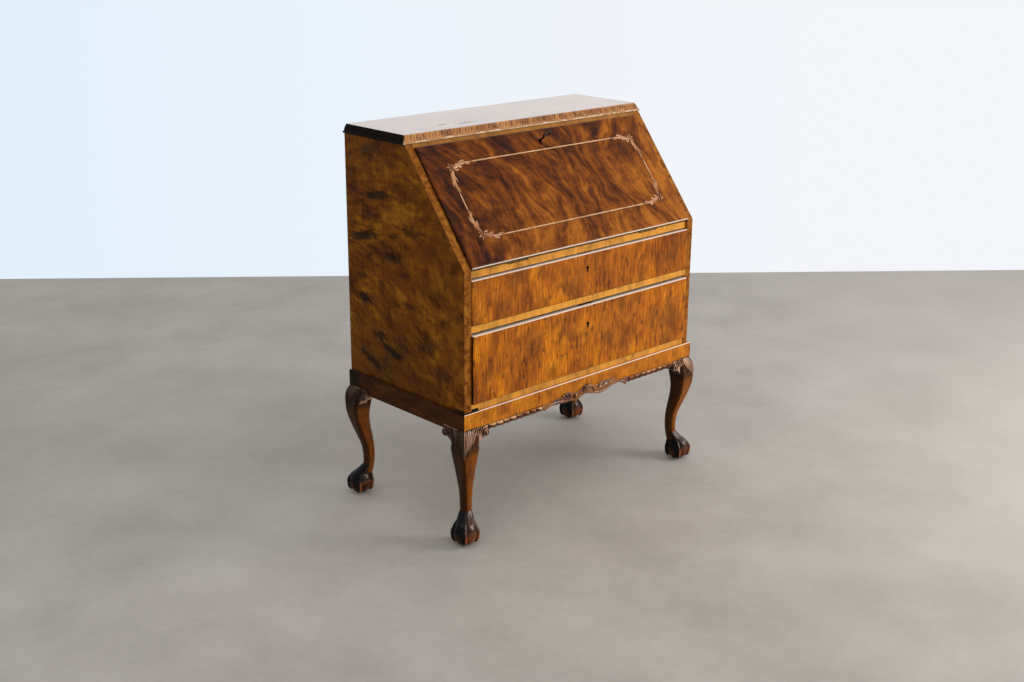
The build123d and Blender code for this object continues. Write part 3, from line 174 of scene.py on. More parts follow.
# Case sides. Each is one board under a sheet of olive brown walnut, cut near a burr. Its smudges
# lie level high up and slant down to the front lower down. A strip of lighter burr is glued along
# the front and sloping edges.
front_face, slope_foot = -0.233, 0.742
slope_rise, slope_run = 0.2840, 0.2227
slope = math.atan2(slope_rise, slope_run)
slope_out = Vector((0, -math.sin(slope), math.cos(slope)))
slope_at = slope_out.dot(Vector((0, front_face, slope_foot)))
x_axis, y_axis, z_axis = (1, 0, 0), (0, 1, 0), (0, 0, 1)
side_veneer, place, shader = finish("side_veneer")
depth = along(place, y_axis)
height = along(place, z_axis)
slant = 1 - step(height, 0.62, 0.84)
smudge_place = place.make("CombineXYZ", {}, {0: depth, 1: height - depth * slant * 0.55, 2: 0})
cloud = noise(place, (5, 7, 11), 5, 0.62, 0.9)
thread = noise(place, (150, 150, 15), 4, 0.65)
ripple = noise(smudge_place, (20, 40, 1), 4, 0.65, 0.6)
colour = ramp(
    cloud * 0.5 + thread * 0.15 + ripple * 0.35,
    (0.39, (0.040, 0.011, 0.001)), (0.46, (0.120, 0.034, 0.002)), (0.53, (0.205, 0.068, 0.003)),
    (0.60, (0.330, 0.128, 0.006)),
)
low_down = (1 - step(height, 0.36, 0.62)) * step(depth, -0.20, -0.02)
colour = mixed(low_down * 0.65, colour, (0.060, 0.020, 0.002))
paler = (1 - step(depth, -0.20, -0.08)) * step(noise(place, (14, 14, 9), 3, 0.6, 0.5), 0.42, 0.62)
colour = mixed(paler * 0.5, colour, (0.330, 0.125, 0.008))
mottle = step(noise(smudge_place, (46, 52, 1), 3, 0.6, 0.7), 0.54, 0.68)
colour = mixed(mottle * 0.4, colour, (0.045, 0.013, 0.002))
rust = step(noise(place, (10, 10, 13), 3, 0.6, 0.6), 0.50, 0.66)
colour = mixed(rust * 0.5, colour, (0.160, 0.040, 0.005))
smudge = step(noise(smudge_place, (12, 34, 1), 4, 0.6, 0.7), 0.55, 0.70)
colour = mixed(smudge * 0.5, colour, (0.040, 0.014, 0.003))
torn = (noise(smudge_place, (40, 120, 1), 5, 0.7, 0.6) - 0.5) * 3.6

# The largest smudges: middle, half length, half height, tilt and darkness. Across its board a
# smudge is so long that it runs right through.
through = 1000
for middle, long, tall, tilt, share in (
    ((0.130, 0.995), 0.060, 0.019, -0.2, 0.5), ((0.115, 0.880), 0.064, 0.013, -0.1, 0.8),
    ((0.166, 0.764), 0.064, 0.012, -0.2, 0.9), ((-0.029, 0.802), 0.049, 0.014, 0.15, 0.65),
    ((0.040, 0.781), 0.022, 0.011, 0.0, 0.65), ((0.055, 0.722), 0.031, 0.012, -0.1, 0.75),
    ((0.159, 0.824), 0.017, 0.016, 0.3, 0.6), ((0.173, 0.590), 0.041, 0.015, 0.0, 0.9),
    ((0.178, 0.650), 0.022, 0.011, 0.0, 0.6), ((0.091, 0.642), 0.015, 0.012, 0.2, 0.7),
    ((-0.016, 0.607), 0.029, 0.010, 0.0, 0.6), ((-0.121, 0.655), 0.025, 0.016, 0.0, 0.5),
    ((0.105, 0.500), 0.037, 0.013, 0.1, 0.8), ((0.059, 0.463), 0.051, 0.013, 0.3, 0.9),
    ((0.143, 0.419), 0.056, 0.013, 0.35, 0.85), ((-0.082, 0.517), 0.044, 0.024, 0.1, 0.55),
    # The last is a black mark low at the near corner of the front edge.
    ((-0.154, 0.452), 0.032, 0.019, 0.1, 0.6), ((-0.222, 0.3725), 0.038, 0.004, 0.0, 1.0),
):
    stain_and_shade = 1 - step(oval(place, (0, *middle), (through, long, tall), tilt) + torn, 0.55, 1.25)
    colour = mixed(stain_and_shade * share, colour, (0.014, 0.006, 0.002))

burr = noise(place, (50, 50, 50), 4, 0.6, 0.8)
burr_colour = ramp(
    burr, (0.36, (0.16, 0.042, 0.005)), (0.50, (0.30, 0.098, 0.011)), (0.64, (0.42, 0.155, 0.020))
)
edge = (depth < front_face + 0.0005) + (along(place, slope_out) > slope_at - 0.0006)
colour = mixed(edge, colour, burr_colour)
lay(place, shader, colour, thread * 0.14 + 0.34, thread, 0.0001, 0.06, 0.01)
dress(side_veneer, "side_left", "side_right")

# Drawer fronts. The grain of their orange walnut stands upright, short dark streaks lie along it,
# and the thin edges of the board behind the veneer are painted nearly black as painted shade. The
# rounded top edges carry a pale painted highlight.
# A pale painted highlight for rounded edges.
painted_highlight = (0.950, 0.790, 0.660)
# Near black: painted shade on edge faces and in gaps, and the black at the near corner.
near_black = (0.010, 0.005, 0.003)


def highlight_band(place, top):
    """1 along a rounded top edge, where a highlight is painted, 0 below it."""
    return step(along(place, z_axis), top - 0.0024, top - 0.0014)


def drawer_veneer(name, face, top, dark):
    """One drawer's veneer, where its front stands at face, and its top edge at top."""
    material, place, shader = finish(name)
    cloud = noise(place, (11, 1, 7), 4, 0.6, 0.5)
    streak = noise(place, (190, 1, 20), 4, 0.62, 0.3)
    thread = noise(place, (520, 1, 16), 3, 0.6)
    colour = ramp(
        cloud * 0.45 + streak * 0.37 + thread * 0.18,
        (0.38, (0.120, 0.024, 0.001)), (0.45, (0.340, 0.080, 0.002)), (0.53, (0.560, 0.152, 0.003)),
        (0.61, (0.820, 0.270, 0.006)),
    )
    blot = step(noise(place, (85, 1, 32), 3, 0.55, 0.5), 0.55, 0.68)
    shade = step(noise(place, (16, 1, 12), 3, 0.5, 0.4), 0.5, 0.68)
    colour = mixed(blot * dark, colour, (0.080, 0.020, 0.002))
    colour = mixed(shade * 0.55, colour, (0.140, 0.042, 0.004))
    # Painted shade: the edge faces behind the front face are painted nearly black.
    stain_and_shade = step(along(place, y_axis), face + 0.0027, face + 0.0036)
    colour = mixed(stain_and_shade, colour, near_black)
    # Painted highlight along the rounded top edge.
    highlight = highlight_band(place, top)
    colour = mixed(highlight, colour, painted_highlight)
    lay(place, shader, colour, thread * 0.12 + 0.26, thread, 0.00008, 0.12, 0.08)
    place.tree.links.new((highlight * 0.9 + 0.08).socket, shader["Coat Weight"])
    return material


upper_veneer = drawer_veneer("upper_drawer_veneer", face=-0.236, top=0.7154, dark=0.6)
lower_veneer = drawer_veneer("lower_drawer_veneer", face=-0.242, top=0.573, dark=0.75)
dress(upper_veneer, "drawer_upper_front")
dress(lower_veneer, "drawer_lower_front")

# Rails. Golden strips of cross-cut walnut with a pale cloud here and there, glued over the front
# edges of the cross boards. The head strip above the fall is browner. The rails are black low at the
# near corner, and a painted shade lies along the foot of the two upper rails, over the gap above each
# drawer.
near_corner, corner_black_top = -0.392, 0.3755
rail_feet = 0.577, 0.717


def shades(tint, *shares):
    """A colour at several depths."""
    return [[channel * share for channel in tint] for share in shares]


def rail_veneer(name, tint):
    """The rails' veneer in one depth of colour."""
    material, place, shader = finish(name)
    cloud = noise(place, (26, 1, 18), 4, 0.6, 0.5)
    thread = noise(place, (420, 40, 30), 3, 0.6)
    dark, middle, pale = shades(tint, 0.6, 1.0, 1.35)
    colour = ramp(cloud * 0.65 + thread * 0.35, (0.37, dark), (0.48, middle), (0.62, pale))
    height = along(place, z_axis)
    # Black low at the near corner, and painted shade along the foot of each upper rail.
    dirt_and_shade = (along(place, x_axis) < near_corner) * (height < corner_black_top)
    for foot in rail_feet:
        dirt_and_shade = dirt_and_shade + (height > foot - 0.001) * (height < foot + 0.0017)
    colour = mixed(dirt_and_shade, colour, near_black)
    lay(place, shader, colour, thread * 0.12 + 0.28, thread, 0.00008, 0.2, 0.15)
    return material


dress(rail_veneer("rail_veneer", (0.740, 0.310, 0.034)), "rail_lower", "rail_middle", "rail_upper")
dress(rail_veneer("head_veneer", (0.330, 0.125, 0.014)), "head_rail")

# Aprons. The front and back ones are veneered like the drawers, plainer towards the right, and the
# front one's top edge carries a pale painted highlight. The side ones are dark red walnut with hardly
# any figure, black with dirt at their back ends. The heads of the legs between them are veneered to
# match.
frame_top, frame_front = 0.369, -0.241
apron_veneer, place, shader = finish("apron_veneer")
cloud = noise(place, (18, 18, 14), 4, 0.6, 0.6)
thread = noise(place, (300, 300, 24), 3, 0.6)
blot = step(noise(place, (70, 70, 34), 3, 0.55, 0.5), 0.55, 0.70)
plainer = 1 - step(along(place, x_axis), -0.25, 0.15) * 0.75
colour = ramp(
    cloud * 0.6 + thread * 0.4,
    (0.37, (0.300, 0.076, 0.004)), (0.48, (0.540, 0.158, 0.006)), (0.62, (0.760, 0.265, 0.012)),
)
colour = mixed(blot * plainer * 0.7, colour, (0.090, 0.025, 0.005))
# Painted highlight along the front's rounded top edge.
highlight = highlight_band(place, frame_top) * (along(place, y_axis) < frame_front + 0.0025)
colour = mixed(highlight, colour, painted_highlight)
# Black on the top ledge at the near corner.
ledge = (along(place, z_axis) > frame_top - 0.0005) * (along(place, x_axis) < near_corner)
colour = mixed(ledge, colour, near_black)
lay(place, shader, colour, thread * 0.12 + 0.26, thread, 0.00008, 0.12, 0.08)
dress(apron_veneer, "apron_front", "apron_back")
apron_side_veneer, place, shader = finish("apron_side_veneer")
cloud = noise(place, (9, 9, 20), 4, 0.6, 0.6)
thread = noise(place, (30, 30, 260), 3, 0.6)
colour = ramp(
    cloud * 0.6 + thread * 0.4,
    (0.38, (0.026, 0.006, 0.001)), (0.50, (0.052, 0.014, 0.001)), (0.62, (0.088, 0.026, 0.002)),
)
# Dark at the back ends, and black along the top edge near the front corner.
dirt_and_shade = step(along(place, y_axis) + cloud * 0.05, 0.205, 0.235)
dirt_and_shade = dirt_and_shade + (along(place, z_axis) > frame_top - 0.003) * (along(place, y_axis) < frame_front + 0.045)
colour = mixed(dirt_and_shade, colour, (0.012, 0.006, 0.003))
lay(place, shader, colour, thread * 0.12 + 0.34, thread, 0.00008, 0.06, 0.01)
dress(apron_side_veneer, "apron_left", "apron_right")


# Inside boards. Plain walnut for the bed and the writing gallery, and dry secondary wood that was
# never polished for what nobody sees. The grain runs the long way of each board.
def plain_wood(name, grain, tint, gloss):
    """Unfigured wood whose rings and fibres are stretched by grain."""
    material, place, shader = finish(name)
    rings = noise(place, grain, 4, 0.6, 0.5)
    thread = noise(place, [scale * 9 for scale in grain], 4, 0.65)
    dark, middle, pale = shades(tint, 0.45, 0.85, 1.25)
    colour = ramp(rings * 0.65 + thread * 0.35, (0.34, dark), (0.5, middle), (0.66, pale))
    lay(place, shader, colour, thread * 0.2 + 0.4, thread, 0.0001, gloss, gloss * 0.5)
    return material


bed_wood = plain_wood("bed_wood", (3, 24, 24), (0.27, 0.130, 0.050), 0.3)
board_wood = plain_wood("board_wood", (3, 30, 30), (0.33, 0.200, 0.095), 0.15)
upright_wood = plain_wood("upright_wood", (30, 30, 3), (0.28, 0.160, 0.075), 0.15)
dress(bed_wood, "writing_bed", "gallery_case")
dress(bed_wood, "gallery_drawer_left", "gallery_drawer_middle", "gallery_drawer_right")
dress(board_wood, "case_bottom_board", "dust_board", "drawer_runners", "drawer_stops")
dress(board_wood, "drawer_upper_box", "drawer_lower_box")
dress(board_wood, "drawer_upper_bottom", "drawer_lower_bottom", "corner_blocks")
dress(upright_wood, "back_panel")

# Top board. One sheet of veneer under the glossiest polish on the desk. Two small knots lie near
# its front edge.
top_veneer, place, shader = finish("top_veneer")
cloud = noise(place, (9, 5, 5), 5, 0.6, 1.4)
thread = noise(place, (60, 300, 60), 4, 0.65)
colour = ramp(
    cloud * 0.75 + thread * 0.25,
    (0.30, (0.40, 0.160, 0.050)), (0.50, (0.60, 0.300, 0.105)), (0.70, (0.76, 0.420, 0.150)),
)
polish = 1.0
for middle, long, wide in (((-0.251, 0.065), 0.024, 0.008), ((-0.182, 0.048), 0.040, 0.007)):
    away = oval(place, (*middle, 0), (long, wide, through))
    knot = 1 - step(away + noise(place, (90, 300, 1)) * 0.9, 0.9, 1.5)
    colour = mixed(knot * 0.8, colour, (0.035, 0.020, 0.014))
    polish = polish - knot * 0.75
lay(place, shader, colour, thread * 0.08 + 0.2, thread, 0.00005, 0.5, 1.0)
place.tree.links.new(polish.socket, shader["Coat Weight"])
dress(top_veneer, "top_board")

# Fall front. One wide sheet cut where the trunk forks, so that a flame runs up its middle. The
# streaks lean right as they leave the bed and bend back, and further right they bend the other way.
# Its inner face, the one to write on, is plain walnut.
fall_veneer, place, shader = finish("fall_veneer")
up_slope = (0, math.cos(slope), math.sin(slope))
climb = along(place, up_slope) - Vector((0, front_face, slope_foot)).dot(up_slope)
sideways = along(place, x_axis)
swirl = noise(place, (4.5, 6, 6), 2, 0.5) - 0.5
right_share = step(sideways + swirl * 0.3, 0.02, 0.26)
left_bend = climb * (0.62 - climb * 2.15)
right_bend = climb * (climb * 1.7 - 0.62)
drift = sideways - left_bend * (1 - right_share) - right_bend * right_share + swirl * 0.12
flame_place = place.make("CombineXYZ", {}, {0: drift, 1: climb, 2: 0})
streak = noise(flame_place, (30, 10, 1), 4, 0.6, 0.7)
band = noise(flame_place, (12, 4.5, 1), 3, 0.55, 0.5)
patch = noise(place, (7, 9, 9), 3, 0.55, 0.8)
thread = noise(flame_place, (130, 30, 1), 4, 0.65, 0.4)
ripple = noise(place, (20, 36, 36), 3, 0.6, 0.8)
border = 1 - step(sideways, -0.43, -0.22) * (1 - step(climb, 0.26, 0.37) * 0.7)
tone = streak * 0.34 + band * 0.24 + patch * 0.14 + thread * 0.14 + ripple * 0.14 - border * 0.06
tone = tone + (1 - step(climb, 0.0, 0.12)) * 0.022 + step(sideways, 0.08, 0.40) * 0.030
tone = tone + step(climb, 0.27, 0.36) * step(sideways, -0.25, 0.1) * 0.032
colour = ramp(
    tone,
    (0.39, (0.016, 0.005, 0.001)), (0.435, (0.056, 0.012, 0.001)), (0.485, (0.130, 0.029, 0.002)),
    (0.53, (0.228, 0.057, 0.003)), (0.60, (0.440, 0.132, 0.008)),
)
proud = along(place, slope_out) - slope_at
# Painted shade: the fall's thin edge faces are painted nearly black.
colour = mixed(1 - step(proud, 0.0030, 0.0046), colour, (0.008, 0.004, 0.003))
inside = ramp(
    noise(place, (3, 24, 24), 4, 0.6, 0.5) * 0.65 + noise(place, (27, 216, 216), 4, 0.65) * 0.35,
    (0.34, (0.110, 0.045, 0.015)), (0.50, (0.215, 0.098, 0.034)), (0.66, (0.320, 0.155, 0.058)),
)
colour = mixed(1 - step(proud, -0.0079, -0.0074), colour, inside)
# Painted highlight along the fall's rounded bottom edge.
highlight = (1 - step(climb, 0.0018, 0.0030)) * step(proud, 0.0040, 0.0052)
colour = mixed(highlight, colour, painted_highlight)
lay(place, shader, colour, thread * 0.12 + 0.24, thread, 0.00008, 0.1, 0.06)
dress(fall_veneer, "fall_panel")


# Metal. Locks and key are forged and gone nearly black, the hinges and stays are brass gone brown
# in use, and the screws are plain steel.
def metal(name, bright, dull, rough):
    """Metal with stains of a duller colour and fine scratches."""
    material, place, shader = finish(name)
    stain_and_shade = noise(place, (60, 60, 60), 4, 0.6)
    scratch = noise(place, (900, 90, 300), 3, 0.6)
    colour = mixed(step(stain_and_shade, 0.35, 0.65), bright, dull)
    lay(place, shader, colour, scratch * 0.2 + rough, scratch, 0.00004, 0.5, 0.0)
    shader["Metallic"].default_value = 1.0
    return material


iron = metal("iron", (0.060, 0.050, 0.042), (0.02, 0.017, 0.014), 0.4)
brass = metal("brass", (0.260, 0.150, 0.050), (0.12, 0.070, 0.025), 0.55)
steel = metal("steel", (0.220, 0.205, 0.185), (0.08, 0.072, 0.062), 0.4)
dress(iron, "key", "fall_lock", "drawer_upper_lock", "drawer_lower_lock")
dress(brass, "hinge_leaves_bed", "hinge_leaves_fall", "strike_plate", "stay_plates")
dress(brass, "stay_upper_left", "stay_upper_right", "stay_lower_left", "stay_lower_right")
dress(brass, "stay_brackets")
dress(steel, "hinge_pins", "frame_screws", "case_screws", "fall_screws")
dress(steel, "fall_bolt", "drawer_upper_bolt", "drawer_lower_bolt")


# Legs. Each is cut from one thick post: a carved knee, a bare shin that comes to a soft edge at
# its outer corner, and a claw that holds a ball. The post's head stands between the aprons.
def carved(name, hollow, middle, bright, reach, coat, left_shade, patch=None):
    """Stained walnut, lighter on what stands out, and black in its hollows, partly with old polish and
    partly as painted shade.

    A hollow is what has wood within reach of it. Where the wood faces left it is painted darker by the
    share given, a painted shade. A patch has another colour, which comes in between two heights.
    """
    material, place, shader = finish(name)
    # Hollows within reach are painted near black: partly old polish, partly painted shade.
    open_share = place.make("AmbientOcclusion", {"samples": 8}, {"Distance": reach}, "AO")
    cloud = noise(place, (26, 26, 9), 4, 0.6, 0.6)
    thread = noise(place, (420, 420, 60), 3, 0.6)
    tone = mixed(step(cloud * 0.9 + thread * 0.1, 0.36, 0.62), middle, bright)
    if patch:
        start, end, patch_colour = patch
        tone = mixed(step(along(place, z_axis) + cloud * 0.02, start, end), tone, patch_colour)
    # Painted shade: wood that faces left is painted darker, towards the hollow colour.
    leftward = step(along(place.make("NewGeometry", {}, {}, "Normal"), (-1, 0, 0)), 0.2, 0.65)
    tone = mixed(leftward * left_shade, tone, hollow)
    colour = mixed(step(open_share, 0.45, 0.95), hollow, tone)
    lay(place, shader, colour, thread * 0.16 + 0.2, thread, 0.00002, 0.12, coat)
    place.tree.links.new(((1 - leftward) * coat).socket, shader["Coat Weight"])
    return material


leg_wood = carved(
    "leg_wood", (0.012, 0.004, 0.001), (0.150, 0.038, 0.003), (0.280, 0.080, 0.005),
    reach=0.008, coat=0.04, left_shade=0.85, patch=(0.262, 0.285, (0.075, 0.024, 0.005)),
)
knee_wood = carved(
    "knee_wood", (0.003, 0.001, 0.001), (0.200, 0.066, 0.018), (0.700, 0.380, 0.230),
    reach=0.010, coat=1.0, left_shade=0.9,
)
claw_wood = carved(
    "claw_wood", (0.002, 0.001, 0.001), (0.020, 0.007, 0.003), (0.110, 0.036, 0.011),
    reach=0.008, coat=0.5, left_shade=1.0, patch=(0.052, 0.040, (0.260, 0.075, 0.016)),
)
ball_wood = carved(
    "ball_wood", (0.004, 0.001, 0.001), (0.050, 0.012, 0.002), (0.260, 0.070, 0.012),
    reach=0.012, coat=0.1, left_shade=0.8,
)


def shaped(name, soft):
    """Name the new shape, smooth its edges up to soft degrees, and let go of it."""
    piece = bpy.context.object
    piece.name = piece.data.name = name
    bpy.ops.object.shade_smooth_by_angle(angle=math.radians(soft))
    piece.select_set(False)
    return piece


def skin(name, around, along_it, point):
    """A grid wrapped into a closed skin, where point(u, v) says where each of its places goes."""
    bpy.ops.mesh.primitive_grid_add(x_subdivisions=around, y_subdivisions=along_it, size=2)
    for place in bpy.context.object.data.vertices:
        place.co = point((place.co.x + 1) / 2, (place.co.y + 1) / 2)
    bpy.ops.object.mode_set(mode="EDIT")
    bpy.ops.mesh.select_all(action="SELECT")
    bpy.ops.mesh.remove_doubles(threshold=1e-6)
    bpy.ops.mesh.fill_holes(sides=0)
    bpy.ops.mesh.select_all(action="SELECT")
    bpy.ops.mesh.normals_make_consistent(inside=False)
    bpy.ops.object.mode_set(mode="OBJECT")
    return shaped(name, 50)


def strokes(name, runs, smooth):
    """Round carved strokes as one mesh. Each run lists (x, y, z, radius)."""
    bpy.ops.curve.primitive_nurbs_path_add()
    curve = bpy.context.object.data
    curve.splines.clear()
    for run in runs:
        line = curve.splines.new("NURBS")
        line.points.add(len(run) - 1)
        for place, (x, y, z, radius) in zip(line.points, run):
            place.co = (x, y, z, 1)
            place.radius = radius
        line.order_u = min(4, len(run))
        line.use_endpoint_u = True
        line.resolution_u = smooth
    curve.bevel_depth = 1
    curve.bevel_resolution = 3
    curve.use_fill_caps = True
    bpy.ops.object.convert(target="MESH")
    return shaped(name, 60)


def joined(name, *pieces):
    """Several shapes as one piece."""
    for piece in pieces:
        piece.select_set(True)
    bpy.context.view_layer.objects.active = pieces[0]
    if len(pieces) > 1:
        bpy.ops.object.join()
    piece = bpy.context.object
    piece.name = piece.data.name = name
    piece.select_set(False)
    return piece


def mirrored(piece, name, *flips):
    """A copy of a piece on another side of the desk, with its own mesh turned right side out."""
    twin = piece.copy()
    twin.data = piece.data.copy()
    twin.name = twin.data.name = name
    bpy.context.collection.objects.link(twin)
    twin.data.transform(Matrix.Diagonal((*flips, 1)))
    if flips[0] * flips[1] * flips[2] < 0:
        twin.data.flip_normals()
    return twin


def coloured(piece, wood):
    """Give a new shape its one finish."""
    piece.data.materials.clear()
    piece.data.materials.append(wood)
    return piece


corner = Vector((-0.4465, frame_front, 0))
post = 0.051
leg_top = 0.325
shin_head, shin_foot = leg_top + 0.002, 0.0635

# The leg's section at shares of its height: how far its middle lies from the corner and its side,
# both in widths of the post, and the radius of its edges as a share of the side.
leg_stations = (
    (1.0, 0.707, 1.0, 0.06), (0.953, 0.52, 1.118, 0.12), (0.905, 0.47, 1.178, 0.14),
    (0.848, 0.431, 1.15, 0.17), (0.775, 0.41, 1.06, 0.20), (0.696, 0.46, 0.94, 0.24),
    (0.608, 0.60, 0.84, 0.30), (0.532, 0.75, 0.765, 0.36), (0.456, 0.885, 0.68, 0.42),
    (0.38, 0.945, 0.64, 0.46), (0.31, 0.95, 0.615, 0.48), (0.25, 0.90, 0.61, 0.48),
    (0.2, 0.79, 0.70, 0.48),
)


def station(share):
    """The leg's offset, side and rounding at a share of its height, smooth between stations."""
    rows = leg_stations
    index = next(i for i in range(len(rows) - 1) if share >= rows[i + 1][0] - 1e-9)
    low, high = rows[index + 1], rows[index]
    before = rows[min(index + 2, len(rows) - 1)]
    after = rows[max(index - 1, 0)]
    gap = high[0] - low[0]
    s = (share - low[0]) / gap
    values = []
    for slot in (1, 2, 3):
        rise_low = (high[slot] - before[slot]) / (high[0] - before[0]) * gap
        rise_high = (after[slot] - low[slot]) / (after[0] - low[0]) * gap
        values.append(
            (2 * s**3 - 3 * s**2 + 1) * low[slot] + (s**3 - 2 * s**2 + s) * rise_low
            + (3 * s**2 - 2 * s**3) * high[slot] + (s**3 - s**2) * rise_high
        )
    return values


def rounded_reach(angle, half, radius):
    """How far a rounded square reaches from its middle in a direction."""
    x, y = abs(math.cos(angle)), abs(math.sin(angle))
    if x < y:
        x, y = y, x
    if half * y / x <= half - radius:
        return half / x
    middle = half - radius
    inward = (x + y) * middle
    return inward + math.sqrt(max(inward**2 - 2 * middle**2 + radius**2, 0))


def around(middle, reach, angle):
    """The x and y of a place at a reach from a middle, turned by an angle."""
    return middle.x + reach * math.cos(angle), middle.y + reach * math.sin(angle)


def leg_surface(height, angle, raised):
    """A place on the leg at a height, turned from its outer corner by an angle."""
    offset, side, rounding = station(min(max(height / leg_top, 0.2), 1.0))
    world = angle + math.radians(225)
    reach = rounded_reach(world, side * post / 2, rounding * side * post) + raised
    inward = offset * post / math.sqrt(2)
    return Vector((*around(corner + Vector((inward, inward, 0)), reach, world), height))


knee_cut, leaf_fall = 0.0036, 0.086


def knee_ground(height, angle):
    """How deep the wood is cut back between the leaf's ribs, with the ragged end of the leaf."""
    down = (leg_top - height) / leaf_fall
    if down <= 0 or abs(angle) > math.radians(100):
        return 0
    ragged = 0.50 + 0.34 * math.exp(-((angle / 0.35) ** 2)) + 0.10 * abs(math.sin(angle * 7))
    ground = min(down / 0.08, 1) * min(max((ragged - down) / 0.1, 0), 1)
    side_fade = min(max((math.radians(100) - abs(angle)) / 0.15, 0), 1)
    return -knee_cut * ground * side_fade


def leg_point(u, v):
    """The shin and the knee's ground, from the head of the leg down to the claw."""
    height = shin_head - v * (shin_head - shin_foot)
    angle = (u - 0.5) * 2 * math.pi
    return leg_surface(height, angle, knee_ground(height, angle))


# Ribs of the knee's leaf: where each starts and ends, in degrees from the outer corner, its
# length and its thickness.
knee_leaf = (
    (0, 0, 0.068, 0.0026), (20, 5, 0.062, 0.0032), (38, 13, 0.055, 0.0036), (55, 24, 0.048, 0.0038),
    (71, 36, 0.041, 0.0036), (86, 50, 0.035, 0.0032),
)
knee_veins = ((10, 2, 0.080, 0.0012), (29, 9, 0.070, 0.0013), (47, 19, 0.061, 0.0013))


def knee_ribs():
    """The leaf's ribs and veins, each thinner towards its tip."""
    runs = []
    for start, end, length, thick in knee_leaf + knee_veins:
        for hand in (-1, 1) if start else (1,):
            run = []
            for share in (0, 0.2, 0.4, 0.6, 0.8, 1):
                angle = hand * math.radians(start + (end - start) * share**0.8)
                radius = thick * (1 - 0.7 * share**2)
                rib_at = leg_surface(leg_top - 0.001 - length * share, angle, -radius - 0.0010)
                run.append((*rib_at, radius))
            runs.append(run)
    return strokes("knee_ribs", runs, 4)


ball_radius = 0.032
ball = Vector((corner.x + 0.016, corner.y + 0.016, ball_radius * 0.96))
ankle = Vector((corner.x + 0.0343, corner.y + 0.0343, 0.092))


def web_point(u, v):
    """Skin between the toes, from the ankle down to a scalloped edge on the ball."""
    angle = u * 2 * math.pi
    toe = abs(math.cos(2 * (angle - math.radians(45))))
    edge = ball.z + ball_radius * (0.21 - 0.35 * toe**3)
    height = ankle.z * (1 - v) + edge * v
    middle = ankle.lerp(ball, min(1.9 * v**1.25, 1))
    flare = min(v / 0.8, 1)
    radius = 0.0140 + 0.0160 * flare
    radius += (0.0016 * toe**4 - 0.0040 * (1 - toe)) * math.sin(math.pi * flare)
    on_ball = math.sqrt(max(ball_radius**2 - (height - ball.z) ** 2, 0)) + 0.0004
    radius = max(radius, on_ball)
    return Vector((*around(middle, radius, angle), height))


# A toe from the ankle down: how far it has gone over to the ball, then how far out it stands, its
# height and its thickness in ball radii.
toe_path = (
    (0.0, 0.24, 2.80, 0.11), (0.25, 0.35, 2.46, 0.13), (0.5, 0.48, 2.16, 0.15),
    (0.72, 0.63, 1.90, 0.17), (0.85, 0.77, 1.66, 0.22), (0.93, 0.88, 1.44, 0.20),
    (1.0, 0.95, 1.24, 0.24), (1.0, 0.96, 1.02, 0.27), (1.0, 0.97, 0.82, 0.23),
    (1.0, 0.92, 0.60, 0.26), (1.0, 0.89, 0.40, 0.22), (1.0, 0.80, 0.20, 0.08),
)


def toes():
    """Four knuckled toes that end in claws, round the ball."""
    runs = []
    for direction in (225, 135, 315, 45):
        run = []
        for share, reach, height, thick in toe_path:
            middle = ankle.lerp(ball, share)
            place = around(middle, reach * ball_radius, math.radians(direction))
            run.append((*place, height * ball_radius, thick * ball_radius))
        runs.append(run)
    return strokes("toes", runs, 6)


def globe():
    """The ball, a hair smaller than the skin around it, and cut flat where it stands."""
    bpy.ops.mesh.primitive_uv_sphere_add(
        segments=48, ring_count=32, radius=ball_radius - 0.00005, location=ball
    )
    bpy.ops.object.transform_apply(location=True)
    bpy.ops.object.mode_set(mode="EDIT")
    bpy.ops.mesh.select_all(action="SELECT")
    bpy.ops.mesh.bisect(plane_co=(0, 0, 0), plane_no=(0, 0, -1), use_fill=True, clear_outer=True)
    bpy.ops.object.mode_set(mode="OBJECT")
    return shaped("globe", 50)


def post_head():
    """Square head of the post, its two outer top edges rounded like the aprons', in two veneers."""
    bpy.ops.mesh.primitive_cube_add(
        size=1,
        location=(corner.x + post / 2, corner.y + post / 2, (leg_top + frame_top) / 2),
        scale=(post, post, frame_top - leg_top),
    )
    head = bpy.context.object
    bpy.ops.object.transform_apply(location=True, scale=True)
    bpy.ops.object.mode_set(mode="EDIT")
    bpy.ops.mesh.select_all(action="DESELECT")
    bpy.ops.object.mode_set(mode="OBJECT")
    for edge in head.data.edges:
        start, end = (head.data.vertices[index].co for index in edge.vertices)
        middle = (start + end) / 2
        outer = min(middle.x - corner.x, middle.y - corner.y) < 1e-5
        edge.select = outer and middle.z > frame_top - 1e-5
    bpy.ops.object.mode_set(mode="EDIT")
    bpy.ops.mesh.bevel(offset=0.003, segments=4)
    bpy.ops.object.mode_set(mode="OBJECT")
    head = shaped("post_head", 40)
    head.data.materials.append(apron_veneer)
    head.data.materials.append(apron_side_veneer)
    for face in head.data.polygons:
        face.material_index = int(abs(face.normal.x) > abs(face.normal.y) and face.normal.z < 0.9)
    return head


leg_front_left = joined(
    "carved_leg_front_left",
    coloured(skin("shin", 128, 200, leg_point), leg_wood),
    coloured(knee_ribs(), knee_wood),
    coloured(skin("web", 72, 24, web_point), claw_wood),
    coloured(toes(), claw_wood),
    coloured(globe(), ball_wood),
    post_head(),
)
other_corners = {"front_right": (-1, 1, 1), "back_left": (1, -1, 1), "back_right": (-1, -1, 1)}
legs = {"leg_front_left": leg_front_left}
for where, flips in other_corners.items():
    legs["leg_" + where] = mirrored(leg_front_left, "carved_leg_" + where, *flips)
for name, piece in legs.items():
    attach(piece, "case")
    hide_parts(name)


